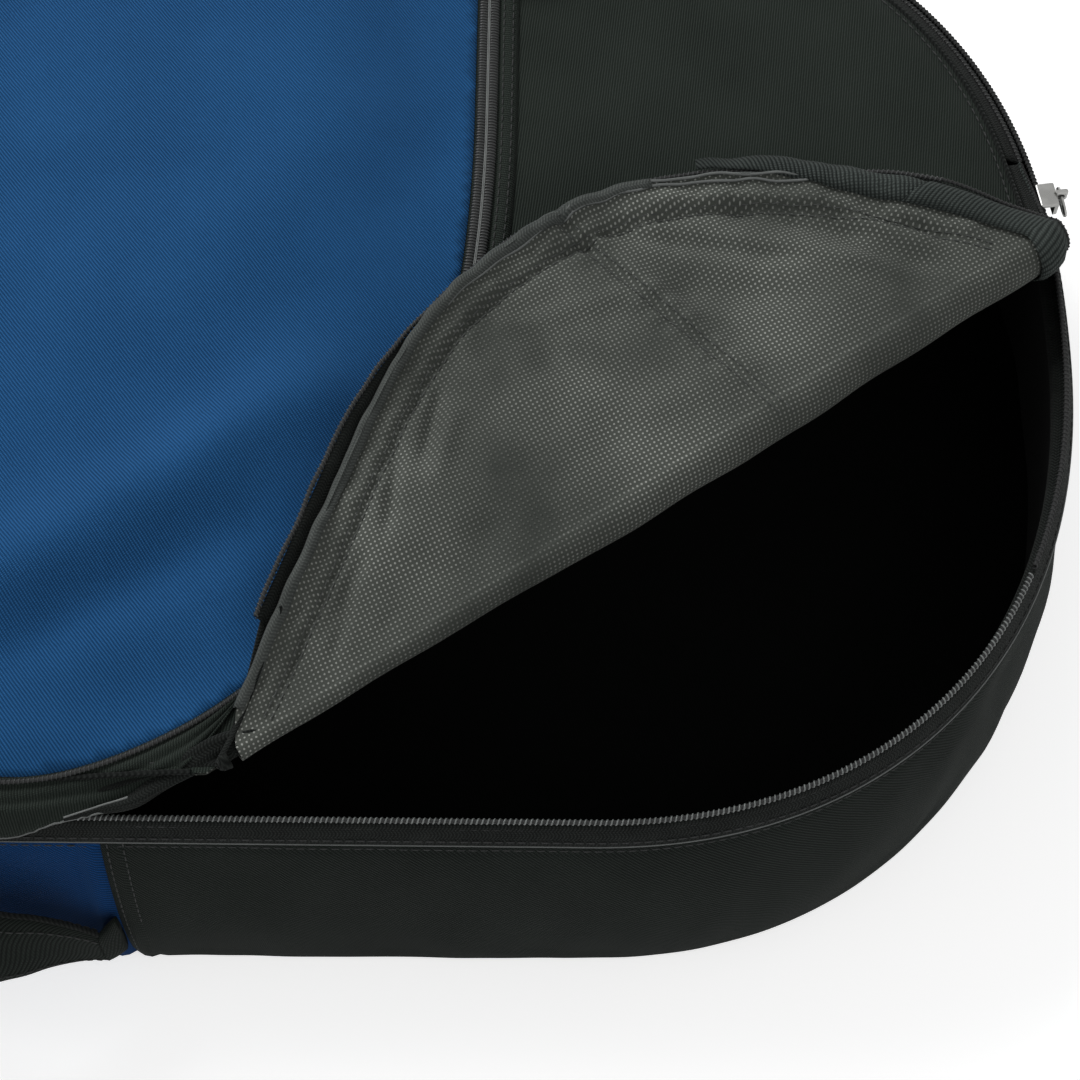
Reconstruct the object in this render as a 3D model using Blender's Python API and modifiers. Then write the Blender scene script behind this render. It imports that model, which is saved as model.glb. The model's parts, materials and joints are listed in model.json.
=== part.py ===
"""Acoustic guitar gig bag lying on its back, with its tail corner unzipped and folded open.

Metres, +Z up. +X points to the tail end, -Y to the side with the carry handle.
"""
import math

import bmesh
import bpy
from mathutils import Matrix, Quaternion, Vector

# Gap between pieces that touch
GAP = 0.0003

# Plan of the rim, which is the line of the main zipper seen from above
LENGTH = 1.080
HALF_WIDTH = 0.213
TAIL_CORNER = 0.185
TAIL_POWER_X = 2.19
TAIL_POWER_Y = 2.30
BODY_END = 0.500
NECK_START = 0.700
NECK_HALF_WIDTH = 0.098
HEAD_CORNER = 0.085
HEAD_POWER = 2.3
STATION_TURN = math.radians(8.5)
STATION_RUN = 0.120

# Heights of the rim and of the padded side wall
RIM_HEIGHT = 0.1195
TAPE_RISE = 0.0125
SEAM_OUT = 0.006
WALL_BULGE = 0.011
WALL_BULGE_TURN = 0.72 * math.pi
WALL_ROWS = 4
WALL_BOW_SPARE = 0.0004

# Layers of padded cloth, the same in the wall, the back and the lid
SHELL_THICK = 0.0010
FOAM_THICK = 0.0038
LINING_THICK = 0.0008

# Back panel, held up by the shoulder straps that lie under it
STRAP_THICK = 0.0087
BACK_HEIGHT = STRAP_THICK + GAP

# Blue accent panel in each side wall, measured from the tail
ACCENT_START = 0.360
ACCENT_END = 0.500

# Main zipper
COIL_RADIUS = 0.00125
COIL_SIDES = 6
TAPE_THICK = 0.0008
ZIP_END_BEFORE_HEAD = 0.120
ZIP_CUT_SPARE = 0.030
COIL_BACKLASH = 0.00005

# Lid, a shallow dish whose border slopes down to the zipper
LID_EDGE_INSET = 0.0100
LID_SHOULDER_INSET = 0.0270
LID_RISE = 0.0115
LID_EDGE_RISE = 0.0060

# Fold across the tail corner: two points on its axis and the radius of the roll
FOLD_NEAR_AT = 0.2935
FOLD_NEAR_INSET = 0.0290
FOLD_TAIL_AT = 0.0283
FOLD_TAIL_Y = 0.0089
FOLD_NEAR = Vector((-FOLD_NEAR_AT, FOLD_NEAR_INSET - HALF_WIDTH, 0))
FOLD_TAIL = Vector((-FOLD_TAIL_AT, FOLD_TAIL_Y, 0))
ROLL_RADIUS = 0.0045
FLAP_SETTLE = math.radians(2.1)
ROLL_STEPS = 8
ROLL_START = 0.036
ROLL_END_BEFORE_RIM = 0.020
FOLD_ZIP_CLEAR = 0.022

# Front pocket: its tail edge crosses the lid and sweeps round to the near side
POCKET_CROSS = 0.2315
POCKET_SWEEP_Y = 0.090
POCKET_SWEEP_LENGTH = 0.1690
POCKET_NEAR_INSET = 0.0100
POCKET_SWEEP_POWER = 2.3
POCKET_HEAD = 0.640
POCKET_ZIP_END = 0.500
POCKET_THICK = 0.0010
POCKET_TAPE_WIDTH = 0.0165
POCKET_COIL_WIDTH = 0.0070
POCKET_COIL_THICK = 0.0018
POCKET_COIL_INSET = 0.0050

# Zipper sliders and pulls
SLIDER_LENGTH = 0.0110
SLIDER_OUT = 0.0078
SLIDER_PLATE = 0.0016
SLIDER_FLANGE = 0.0018
SLIDER_SKIRT = 0.0058
SLIDER_LIFT = 0.00035
EYE_THICK = 0.0022
EYE_RADIUS = 0.0030
EYE_HOLE_RADIUS = 0.0015
PULL_WIRE_RADIUS = 0.0009
PULL_WIDTH = 0.0085
PULL_LENGTH = 0.0240
RING_RADIUS = 0.0056
PULL_HANG = math.radians(16)
NEAR_SLIDER_AT = 0.4150
TAIL_SLIDER_Y = 0.0550
POCKET_SLIDER_INSET = 0.0580

# Side carry handle
HANDLE_HEIGHT = 0.0430
HANDLE_RISE = 0.0320
HANDLE_BOW = 0.0170
HANDLE_LEAN = math.radians(12)
HANDLE_TALL = 0.0440
HANDLE_THICK = 0.0080
HANDLE_END_TALL = 0.0280
HANDLE_END_THICK = 0.0040
HANDLE_STANDOFF = 0.0075
HANDLE_TAB_LENGTH = 0.0060
HANDLE_TAB_TALL = 0.0340
HANDLE_STEPS = 12
HANDLE_SIDES = 8
HANDLE_FLAT_SIDE = 1.35
HANDLE_FLAT_EDGE = 1.08

# Hang loop on the head end
LOOP_WIDTH = 0.0250
LOOP_REACH = 0.0420
LOOP_TALL = 0.0200
LOOP_THICK = 0.0020
LOOP_HEIGHT = 0.0620
LOOP_DROOP = math.radians(12)
LOOP_POINTS = 18
LOOP_PINCH = 1.2

# Shoulder straps on the back
STRAP_WIDTH = 0.0620
STRAP_HEAD_AT = 0.5200
STRAP_TAIL_AT = 0.1700
STRAP_HEAD_Y = 0.0750
STRAP_TAIL_Y = 0.1100
WEB_WIDTH = 0.0250
WEB_THICK = 0.0015
WEB_LENGTH = 0.1150
PATCH_THICK = 0.0026
PATCH_LENGTH = 0.0400
ANCHOR_LENGTH = 0.0400
ANCHOR_WIDTH = 0.0400
ANCHOR_OVER_WEB = 0.0280
STRAP_CORNER = 0.0120
WEB_CORNER = 0.0012
ADJUSTER_LENGTH = 0.0280
ADJUSTER_RIM = 0.0035
ADJUSTER_WALL = 0.0016
ADJUSTER_ALONG = 0.0500


def scene_reset():
    for obj in list(bpy.data.objects):
        bpy.data.objects.remove(obj, do_unlink=True)
    names = ("gig_bag", "cutters")
    made = []
    for name in names:
        collection = bpy.data.collections.new(name)
        bpy.context.scene.collection.children.link(collection)
        made.append(collection)
    return made


PARTS, CUTTERS = scene_reset()


def material(name, colour, roughness, metallic=0.0):
    mat = bpy.data.materials.new(name)
    mat.use_nodes = True
    shader = mat.node_tree.nodes["Principled BSDF"]
    shader.inputs["Base Color"].default_value = (*colour, 1)
    shader.inputs["Roughness"].default_value = roughness
    shader.inputs["Metallic"].default_value = metallic
    mat.diffuse_color = (*colour, 1)
    return mat


BLACK = ("black_polyester", (0.016, 0.019, 0.018), 0.85)
BLUE = ("blue_polyester", (0.018, 0.075, 0.180), 0.80)
LINING = ("dimpled_lining", (0.060, 0.066, 0.060), 0.75)
BLACK_LINING = ("black_lining", (0.008, 0.009, 0.009), 0.90)
FOAM = ("grey_foam", (0.300, 0.300, 0.300), 0.95)
TAPE = ("zipper_tape", (0.012, 0.014, 0.014), 0.90)
COIL = ("nylon_coil", (0.020, 0.022, 0.022), 0.45)
CHROME = ("chromed_zinc", (0.620, 0.620, 0.600), 0.20, 1.0)
BLACK_METAL = ("black_lacquered_zinc", (0.020, 0.020, 0.020), 0.35, 0.6)
WEBBING = ("black_webbing", (0.014, 0.015, 0.015), 0.85)
PLASTIC = ("black_acetal", (0.015, 0.015, 0.015), 0.40)


def finish(obj, name, look, collection=None):
    """Name the object, give it its own material and put it in its collection."""
    obj.name = name
    obj.data.name = name
    for other in list(obj.users_collection):
        other.objects.unlink(obj)
    (collection or PARTS).objects.link(obj)
    if look:
        obj.data.materials.clear()
        title, colour, roughness, *metallic = look
        obj.data.materials.append(material(name + "_" + title, colour, roughness, *metallic))
    return obj


def mesh_object(name, bm, look):
    mesh = bpy.data.meshes.new(name)
    bmesh.ops.recalc_face_normals(bm, faces=bm.faces[:])
    bm.to_mesh(mesh)
    bm.free()
    obj = bpy.data.objects.new(name, mesh)
    bpy.context.scene.collection.objects.link(obj)
    return finish(obj, name, look)


def loft(name, rings, look):
    """Skin a row of closed rings, capped at both ends."""
    bm = bmesh.new()
    rows = [[bm.verts.new(point) for point in ring] for ring in rings]
    bm.faces.new(rows[0])
    bm.faces.new(rows[-1])
    for row, following in zip(rows, rows[1:]):
        count = len(row)
        for index in range(count):
            beside = (index + 1) % count
            bm.faces.new((row[index], row[beside], following[beside], following[index]))
    return mesh_object(name, bm, look)


def smooth(obj, angle=math.radians(40)):
    obj.data.shade_smooth()
    obj.data.set_sharp_from_angle(angle=angle)
    return obj


def baked(obj):
    """Replace the object's data with its evaluated mesh, so that it can be moved afterwards."""
    bpy.context.view_layer.update()
    depsgraph = bpy.context.evaluated_depsgraph_get()
    mesh = bpy.data.meshes.new_from_object(obj.evaluated_get(depsgraph))
    obj.modifiers.clear()
    if obj.type == "MESH":
        obj.data = mesh
        return obj
    bm = bmesh.new()
    bm.from_mesh(mesh)
    bmesh.ops.remove_doubles(bm, verts=bm.verts[:], dist=0.00001)
    bm.to_mesh(mesh)
    bm.free()
    made = bpy.data.objects.new(obj.name + "_mesh", mesh)
    made.matrix_world = obj.matrix_world
    name = obj.name
    collection = obj.users_collection[0]
    bpy.data.objects.remove(obj, do_unlink=True)
    collection.objects.link(made)
    made.name = name
    return made


def boolean(obj, cutter, operation):
    modifier = obj.modifiers.new(operation.lower(), "BOOLEAN")
    modifier.object = cutter
    modifier.operation = operation
    modifier.solver = "EXACT"
    return obj


def as_cutter(obj):
    obj.hide_render = True
    obj.display_type = "WIRE"
    return obj


def box(name, low, high, look, collection=None):
    bpy.ops.mesh.primitive_cube_add(size=1)
    obj = bpy.context.object
    low, high = Vector(low), Vector(high)
    size = high - low
    obj.data.transform(Matrix.Translation((low + high) / 2) @ Matrix.Diagonal((*size, 1)))
    return finish(obj, name, look, collection)


def bevelled(obj, width, segments=2):
    modifier = obj.modifiers.new("rounded", "BEVEL")
    modifier.width = width
    modifier.segments = segments
    modifier.limit_method = "ANGLE"
    return obj


def plate(name, outlines, low, high, look, collection=None):
    """A flat outline, with any holes, thickened from one height to another."""
    curve = bpy.data.curves.new(name, "CURVE")
    curve.dimensions = "2D"
    curve.fill_mode = "BOTH"
    curve.extrude = (high - low) / 2
    for outline in outlines:
        spline = curve.splines.new("POLY")
        spline.points.add(len(outline) - 1)
        spline.use_cyclic_u = True
        for point, place in zip(spline.points, outline):
            point.co = (place[0], place[1], 0, 1)
    obj = bpy.data.objects.new(name, curve)
    obj.location = (0, 0, (low + high) / 2)
    bpy.context.scene.collection.objects.link(obj)
    return finish(obj, name, look, collection)


def placed(obj, pivot, turn=None):
    """Put the origin at the pivot, then turn the object about it."""
    obj.data.transform(Matrix.Translation(-Vector(pivot)))
    obj.location = pivot
    if turn:
        obj.rotation_mode = "QUATERNION"
        obj.rotation_quaternion = turn
    return obj


def superellipse(share, power_along, power_across):
    """Half width at a share of the corner's length, both from 0 to 1."""
    return max(0.0, 1 - (1 - share) ** power_along) ** (1 / power_across)


def half_width(at):
    """Half width of the rim at a distance from the tail."""
    if at < TAIL_CORNER:
        return HALF_WIDTH * superellipse(at / TAIL_CORNER, TAIL_POWER_X, TAIL_POWER_Y)
    if at < BODY_END:
        return HALF_WIDTH
    if at < NECK_START:
        share = (at - BODY_END) / (NECK_START - BODY_END)
        return HALF_WIDTH + (NECK_HALF_WIDTH - HALF_WIDTH) * (1 - math.cos(math.pi * share)) / 2
    if at < LENGTH - HEAD_CORNER:
        return NECK_HALF_WIDTH
    return NECK_HALF_WIDTH * superellipse((LENGTH - at) / HEAD_CORNER, HEAD_POWER, HEAD_POWER)


def near_side_line(count=900):
    """Dense points of the near half of the rim, from the tail's middle to the head's middle."""
    points = []
    for index in range(count + 1):
        share = (1 - math.cos(math.pi * index / count)) / 2
        at = LENGTH * share
        points.append(Vector((-at, -half_width(at), 0)))
    return points


class Rim:
    """The rim as one line, by the run along it from the tail's middle, near side positive."""

    def __init__(self):
        near = near_side_line()
        self.runs = [0.0]
        for before, after in zip(near, near[1:]):
            self.runs.append(self.runs[-1] + (after - before).length)
        self.near = near
        self.half = self.runs[-1]
        self.lay_grid()

    def point(self, run):
        side = -1 if run < 0 else 1
        distance = min(abs(run), self.half)
        low, high = 0, len(self.runs) - 1
        while high - low > 1:
            middle = (low + high) // 2
            if self.runs[middle] <= distance:
                low = middle
            else:
                high = middle
        share = (distance - self.runs[low]) / (self.runs[high] - self.runs[low])
        place = self.near[low].lerp(self.near[high], share)
        return Vector((place.x, place.y * side, 0))

    def outward(self, run, reach=0.004):
        before, after = run - reach, run + reach
        if after > self.half:
            return Vector((-1, 0, 0)) if self.half - run < reach / 2 else self.normal(before, self.half)
        if before < -self.half:
            return Vector((-1, 0, 0)) if self.half + run < reach / 2 else self.normal(-self.half, after)
        return self.normal(before, after)

    def normal(self, before, after):
        along = (self.point(after) - self.point(before)).normalized()
        return Vector((-along.y, along.x, 0))

    def lay_grid(self):
        """Shared runs, closer together where the rim turns, the same on both sides."""
        steps = int(self.half / 0.004)
        picked = [0.0]
        heading = self.outward(0.0)
        for index in range(1, steps):
            run = self.half * index / steps
            facing = self.outward(run)
            turned = facing.angle(heading) >= STATION_TURN
            if turned or run - picked[-1] >= STATION_RUN:
                picked.append(run)
                heading = facing
        if self.half - picked[-1] < 0.008:
            picked.pop()
        near = picked[1:] + [self.half]
        self.grid = [-run for run in reversed(near)] + [0.0] + near

    def stations(self, start, end):
        """The shared runs between a start and an end, with both ends."""
        between = [run for run in self.grid if start + 0.001 < run < end - 0.001]
        return [start] + between + [end]

    def near_run(self, at):
        """Run of the near side point at a distance from the tail."""
        for index in range(1, len(self.near)):
            before, after = -self.near[index - 1].x, -self.near[index].x
            if after >= at:
                share = (at - before) / (after - before)
                return self.runs[index - 1] + (self.runs[index] - self.runs[index - 1]) * share
        return self.half

    def corner(self, run, out):
        return self.point(run) + self.outward(run) * out

    def offset(self, run, out, height):
        """Point beside the rim, on the chords between the shared runs, so that layers nest."""
        after = next((mark for mark in self.grid if mark >= run), self.grid[-1])
        before = self.grid[max(self.grid.index(after) - 1, 0)]
        if after == before:
            place = self.corner(run, out)
        else:
            share = (run - before) / (after - before)
            place = self.corner(before, out).lerp(self.corner(after, out), share)
        return Vector((place.x, place.y, height))


RIM = Rim()
AROUND = RIM.grid[:-1]
ZIP_END_RUN = RIM.half - ZIP_END_BEFORE_HEAD


def carried(section, runs):
    """Rings of an (out, height) section at some runs along the rim."""
    return [[RIM.offset(run, out, height) for out, height in section] for run in runs]


def sweep(name, section, start, end, look):
    """Carry a section of (out, height) points along a stretch of the rim."""
    return loft(name, carried(section, RIM.stations(start, end)), look)


def loop_ring(out, height):
    return [RIM.offset(run, out, height) for run in AROUND]


def strip_section(first, second, thickness):
    """Four corners of a flat strip between two (out, height) points."""
    along = Vector(second) - Vector(first)
    across = Vector((-along.y, along.x)).normalized() * thickness / 2
    first, second = Vector(first), Vector(second)
    return [first + across, second + across, second - across, first - across]


def round_section(out, height, radius, sides):
    section = []
    for index in range(sides):
        angle = 2 * math.pi * index / sides
        section.append((out + radius * math.cos(angle), height + radius * math.sin(angle)))
    return section


WALL_TOP = RIM_HEIGHT - TAPE_RISE
LAYER_DEPTHS = (
    (0.0, SHELL_THICK),
    (SHELL_THICK + GAP, SHELL_THICK + GAP + FOAM_THICK),
    (SHELL_THICK + FOAM_THICK + 2 * GAP, SHELL_THICK + FOAM_THICK + LINING_THICK + 2 * GAP),
)
PADDING_LAYER = 1
PAD_THICK = LAYER_DEPTHS[-1][1]


def wall_out(height):
    """How far the side wall's outer face stands out from the rim at a height."""
    share = 1 - height / WALL_TOP
    return SEAM_OUT + WALL_BULGE * math.sin(WALL_BULGE_TURN * share)


WALL_HEIGHTS = [WALL_TOP * (1 - row / WALL_ROWS) for row in range(WALL_ROWS + 1)]


def wall_strip(heights, outer_depth, inner_depth):
    """Section of a layer that follows the wall between some of its row heights."""
    outer = [(wall_out(height) - outer_depth, height) for height in heights]
    inner = [(wall_out(height) - inner_depth, height) for height in reversed(heights)]
    return outer + inner


def wall_section(layer):
    """Section of a whole layer; the padding stands on the floor and the cloth just above it."""
    foot = 0.0 if layer == PADDING_LAYER else GAP
    return wall_strip(WALL_HEIGHTS[:-1] + [foot], *LAYER_DEPTHS[layer])


def wall_inside(height):
    """How far the wall's inner face stands out from the rim, low down in its first row."""
    share = height / WALL_HEIGHTS[-2]
    return wall_out(0) + (wall_out(WALL_HEIGHTS[-2]) - wall_out(0)) * share - PAD_THICK


def round_the_head(start):
    """Runs from a start on the near side round the head end to its mirror on the far side."""
    near = RIM.stations(start, RIM.half)
    return near + [-run for run in reversed(near[:-1])]


def build_wall():
    accent_start = RIM.near_run(ACCENT_START)
    accent_end = RIM.near_run(ACCENT_END)
    shell = wall_section(0)
    half_gap = GAP / 2
    sweep("gusset_shell_tail", shell, half_gap - accent_start, accent_start - half_gap, BLACK)
    sweep("gusset_accent_near", shell, accent_start + half_gap, accent_end - half_gap, BLUE)
    sweep("gusset_accent_far", shell, half_gap - accent_end, -accent_start - half_gap, BLUE)
    loft("gusset_shell_head", carried(shell, round_the_head(accent_end + half_gap)), BLACK)
    for layer, title, look in ((1, "foam", FOAM), (2, "lining", BLACK_LINING)):
        section = wall_section(layer)
        sweep(f"gusset_{title}_near", section, half_gap, RIM.half - half_gap, look)
        sweep(f"gusset_{title}_far", section, half_gap - RIM.half, -half_gap, look)


def build_back():
    titles = (("back_shell", BLACK), ("back_foam", FOAM), ("back_lining", BLACK_LINING))
    for (name, look), (low, high) in zip(titles, LAYER_DEPTHS):
        outline = loop_ring(wall_inside(BACK_HEIGHT + low) - GAP, 0)
        baked(plate(name, [outline], BACK_HEIGHT + low, BACK_HEIGHT + high, look))


COIL_OUT = COIL_RADIUS + GAP / 2 + COIL_BACKLASH
COIL_BOTTOM = RIM_HEIGHT - COIL_RADIUS
TAPE_LEAN = math.atan2(SEAM_OUT - COIL_OUT, TAPE_RISE)


def gusset_tape_section():
    """The zipper tape that stands on the wall's seam and leans in to the coil."""
    spread = TAPE_THICK / 2
    foot = (SEAM_OUT - spread - GAP, WALL_TOP + GAP + spread * math.sin(TAPE_LEAN))
    top = (COIL_OUT, COIL_BOTTOM - GAP - spread * math.sin(TAPE_LEAN))
    return strip_section(foot, top, TAPE_THICK)


def lid_tape_section():
    """The zipper tape that runs from the lid's edge down to the coil."""
    outer = (-2 * COIL_OUT - TAPE_THICK / 2, RIM_HEIGHT + TAPE_THICK / 2)
    inner = (-LID_EDGE_INSET + TAPE_THICK / 2 + GAP, RIM_HEIGHT + LID_EDGE_RISE - TAPE_THICK)
    return strip_section(outer, inner, TAPE_THICK)


def build_gusset_zip():
    sweep("gusset_zip_tape", gusset_tape_section(), -ZIP_END_RUN, ZIP_END_RUN, TAPE)
    coil = round_section(COIL_OUT, RIM_HEIGHT, COIL_RADIUS, COIL_SIDES)
    smooth(sweep("gusset_zip_coil", coil, -ZIP_END_RUN, ZIP_END_RUN, COIL))
    loft("head_seam_binding", carried(gusset_tape_section(), round_the_head(ZIP_END_RUN + GAP)), TAPE)


FOLD_ALONG = (FOLD_TAIL - FOLD_NEAR).normalized()
FOLD_ACROSS = Vector((FOLD_ALONG.y, -FOLD_ALONG.x, 0))
LID_TOP = RIM_HEIGHT + LID_RISE
FOLD_HEIGHT = LID_TOP + ROLL_RADIUS
FOLD_PIVOT = Vector((FOLD_NEAR.x, FOLD_NEAR.y, FOLD_HEIGHT))
FLAP_TURN = Quaternion(FOLD_ALONG, -(math.pi + FLAP_SETTLE))


def corner_zone(name, shift):
    """A cutter that covers the tail corner, from the fold plane moved by a shift outwards."""
    reach = HALF_WIDTH * 2
    zone = box(name, (-reach, shift, -reach), (reach * 2, shift + reach * 2, reach), None, CUTTERS)
    turn = FOLD_ACROSS.to_2d().angle_signed(Vector((0, 1)))
    zone.rotation_euler = (0, 0, turn)
    zone.location = (FOLD_NEAR.x, FOLD_NEAR.y, 0)
    return as_cutter(zone)


def lid_rows(depth):
    """Rows of (out, height) over the lid's sloping border, at a depth under its outer face."""
    edge = RIM_HEIGHT + LID_EDGE_RISE
    rise = LID_RISE - LID_EDGE_RISE
    spread = LID_SHOULDER_INSET - LID_EDGE_INSET
    rows = []
    for share in (0.0, 0.45, 1.0):
        height = edge + rise * math.sin(share * math.pi / 2) - depth
        rows.append((-LID_EDGE_INSET - spread * share, height))
    return rows


def dish(name, top_depth, bottom_depth, look, extra_inset=0.0):
    rings = []
    for out, height in reversed(lid_rows(top_depth)):
        rings.append(loop_ring(out - extra_inset, height))
    for out, height in lid_rows(bottom_depth):
        rings.append(loop_ring(out - extra_inset, height))
    return loft(name, rings, look)


def lid_keep(obj):
    return baked(boolean(obj, LID_ZONE, "DIFFERENCE"))


def flap_keep(obj):
    """Keep what lies in the corner and fold it back on the lid."""
    baked(boolean(obj, FLAP_ZONE, "INTERSECT"))
    return placed(obj, FOLD_PIVOT, FLAP_TURN)


def flap_zip_keep(obj):
    """The same for the zipper, which bends too tightly next to the fold to be one solid there."""
    baked(boolean(obj, FLAP_ZIP_ZONE, "INTERSECT"))
    return placed(obj, FOLD_PIVOT, FLAP_TURN)


def build_lid_layers():
    titles = (("shell", BLACK), ("foam", FOAM), ("lining", LINING))
    for (title, look), (top, bottom) in zip(titles, LAYER_DEPTHS):
        lid_keep(dish("lid_" + title, top, bottom, look))
        flap_keep(dish("flap_" + title, top, bottom, look))


def fold_run(side):
    """Run at which the fold plane crosses the rim, near side 1 or far side -1."""
    step = side * 0.001
    run = 0.0
    while abs(run) < RIM.half and (RIM.point(run) - FOLD_NEAR).dot(FOLD_ACROSS) > 0:
        run += step
    return run


def build_lid_zip():
    near_fold = fold_run(1)
    tail_fold = fold_run(-1)
    pieces = (
        ("lid_zip_{}_near", near_fold - ZIP_CUT_SPARE, ZIP_END_RUN, lid_keep),
        ("lid_zip_{}_far", -ZIP_END_RUN, tail_fold + ZIP_CUT_SPARE, lid_keep),
        ("flap_zip_{}", tail_fold - ZIP_CUT_SPARE, near_fold + ZIP_CUT_SPARE, flap_zip_keep),
    )
    coil = round_section(-COIL_OUT, RIM_HEIGHT, COIL_RADIUS, COIL_SIDES)
    for pattern, start, end, keep in pieces:
        keep(sweep(pattern.format("tape"), lid_tape_section(), start, end, TAPE))
        smooth(keep(sweep(pattern.format("coil"), coil, start, end, COIL)))
    loft("lid_head_binding", carried(lid_tape_section(), round_the_head(ZIP_END_RUN + GAP)), TAPE)


def build_roll():
    """The padded cloth that turns over between the lid and the folded corner."""
    inner = ROLL_RADIUS
    outer = ROLL_RADIUS + PAD_THICK
    start_angle = -math.pi / 2
    end_angle = math.pi / 2 + FLAP_SETTLE
    section = []
    for radius, order in ((outer, 1), (inner, -1)):
        for step in range(ROLL_STEPS + 1)[::order]:
            angle = start_angle + (end_angle - start_angle) * step / ROLL_STEPS
            section.append((radius * math.cos(angle) + GAP, radius * math.sin(angle)))
    length = (FOLD_TAIL - FOLD_NEAR).length
    rings = []
    for along in (-ROLL_START, length + ROLL_END_BEFORE_RIM):
        base = FOLD_NEAR + FOLD_ALONG * along
        rings.append([base + FOLD_ACROSS * out + Vector((0, 0, FOLD_HEIGHT + up)) for out, up in section])
    smooth(loft("corner_roll", rings, LINING))


def pocket_edge(out):
    """Tail edge of the pocket, moved out by a distance, from the far side to the near side."""
    centre = Vector((-POCKET_CROSS - POCKET_SWEEP_LENGTH, POCKET_SWEEP_Y, 0))
    near_edge = HALF_WIDTH - POCKET_NEAR_INSET
    across = POCKET_SWEEP_Y + near_edge
    steps = 14
    points = []
    for index in range(steps + 1):
        angle = math.pi / 2 * index / steps
        x = POCKET_SWEEP_LENGTH * math.cos(angle) ** (2 / POCKET_SWEEP_POWER)
        y = -across * math.sin(angle) ** (2 / POCKET_SWEEP_POWER)
        points.append(centre + Vector((x, y, 0)))
    far = Vector((-POCKET_CROSS, HALF_WIDTH, 0))
    near_end = Vector((-POCKET_ZIP_END, -near_edge, 0))
    line = [far] + points + [near_end]
    moved = []
    for index, place in enumerate(line):
        before = line[max(index - 1, 0)]
        after = line[min(index + 1, len(line) - 1)]
        along = (after - before).normalized()
        moved.append(place + Vector((-along.y, along.x, 0)) * out)
    return moved


def ribbon(name, low_out, high_out, low, high, look):
    """A flat band beside the pocket's edge, on the lid's flat middle."""
    outline = pocket_edge(low_out) + list(reversed(pocket_edge(high_out)))
    return baked(plate(name, [outline], low, high, look))


def border_zone(name, inset):
    """A cutter over the lid within an inset of the rim."""
    zone = plate(name, [loop_ring(-inset, 0)], 0, RIM_HEIGHT * 2, None, CUTTERS)
    return as_cutter(baked(zone))


def build_pocket():
    """Blue pocket panel on the lid, with its zipper along the tail edge."""
    front = pocket_edge(0)
    head_edge = [Vector((-POCKET_HEAD, -HALF_WIDTH, 0)), Vector((-POCKET_HEAD, HALF_WIDTH, 0))]
    near_out = [Vector((-POCKET_ZIP_END, -HALF_WIDTH, 0))]
    outline = front + near_out + head_edge
    zone = as_cutter(baked(plate("pocket_zone", [outline], 0, RIM_HEIGHT * 2, None, CUTTERS)))
    panel = dish("pocket_panel", -POCKET_THICK - GAP, -GAP, BLUE, extra_inset=GAP)
    baked(boolean(panel, zone, "INTERSECT"))
    for name, low_out, high_out, low, high, look in (
        ("pocket_zip_tape", GAP, POCKET_TAPE_WIDTH, GAP, GAP + TAPE_THICK, TAPE),
        ("pocket_zip_coil", POCKET_COIL_INSET - POCKET_COIL_WIDTH / 2,
         POCKET_COIL_INSET + POCKET_COIL_WIDTH / 2, 2 * GAP + TAPE_THICK,
         2 * GAP + TAPE_THICK + POCKET_COIL_THICK, COIL),
    ):
        band = ribbon(name, low_out, high_out, LID_TOP + low, LID_TOP + high, look)
        baked(boolean(band, POCKET_BORDER, "INTERSECT"))


def slider_body(name, look, low, high, channel_low, channel_high, eye_at, eye_axis):
    """A slider with a channel for the coil and an eye that carries its pull."""
    body = bevelled(box(name, low, high, look), SLIDER_PLATE * 0.4)
    eye_low = Vector(eye_at) - Vector((EYE_THICK / 2, EYE_RADIUS, EYE_RADIUS))
    eye_high = Vector(eye_at) + Vector((EYE_THICK / 2, EYE_RADIUS, EYE_RADIUS))
    eye = bevelled(box(name + "_eye_shape", eye_low, eye_high, None, CUTTERS), EYE_RADIUS * 0.4)
    channel = box(name + "_channel_cut", channel_low, channel_high, None, CUTTERS)
    bpy.ops.mesh.primitive_cylinder_add(vertices=12, radius=EYE_HOLE_RADIUS, depth=EYE_THICK * 3)
    hole = finish(bpy.context.object, name + "_eye_cut", None, CUTTERS)
    hole.data.transform(Matrix.Rotation(math.pi / 2, 4, "Y"))
    hole.location = eye_at
    if eye_axis == "Y":
        quarter = Matrix.Rotation(math.pi / 2, 4, "Z")
        eye.data.transform(Matrix.Translation(eye_at) @ quarter @ Matrix.Translation(-Vector(eye_at)))
        hole.data.transform(quarter)
    for shape in (eye, channel, hole):
        as_cutter(shape)
    boolean(body, channel, "DIFFERENCE")
    boolean(body, eye, "UNION")
    boolean(body, hole, "DIFFERENCE")
    return baked(body)


def wire_loop(name, length, width, look):
    """A closed wire pull in the XY plane, hung from the origin towards -Y."""
    radius = width / 2
    points = []
    steps = 8
    for index in range(steps + 1):
        angle = math.pi * index / steps
        points.append((radius * math.cos(angle), -radius + radius * math.sin(angle)))
    for index in range(steps + 1):
        angle = math.pi + math.pi * index / steps
        points.append((radius * math.cos(angle), -length + radius + radius * math.sin(angle)))
    curve = bpy.data.curves.new(name, "CURVE")
    curve.dimensions = "3D"
    curve.bevel_depth = PULL_WIRE_RADIUS
    curve.bevel_resolution = 1
    spline = curve.splines.new("POLY")
    spline.points.add(len(points) - 1)
    spline.use_cyclic_u = True
    for point, place in zip(spline.points, points):
        point.co = (place[0], place[1], 0, 1)
    obj = bpy.data.objects.new(name, curve)
    bpy.context.scene.collection.objects.link(obj)
    return smooth(baked(finish(obj, name, look)))


EYE_STAND = 0.0018
PULL_EYE_OUT = SLIDER_OUT + EYE_STAND
PULL_EYE_HEIGHT = RIM_HEIGHT + COIL_RADIUS + SLIDER_LIFT


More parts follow.
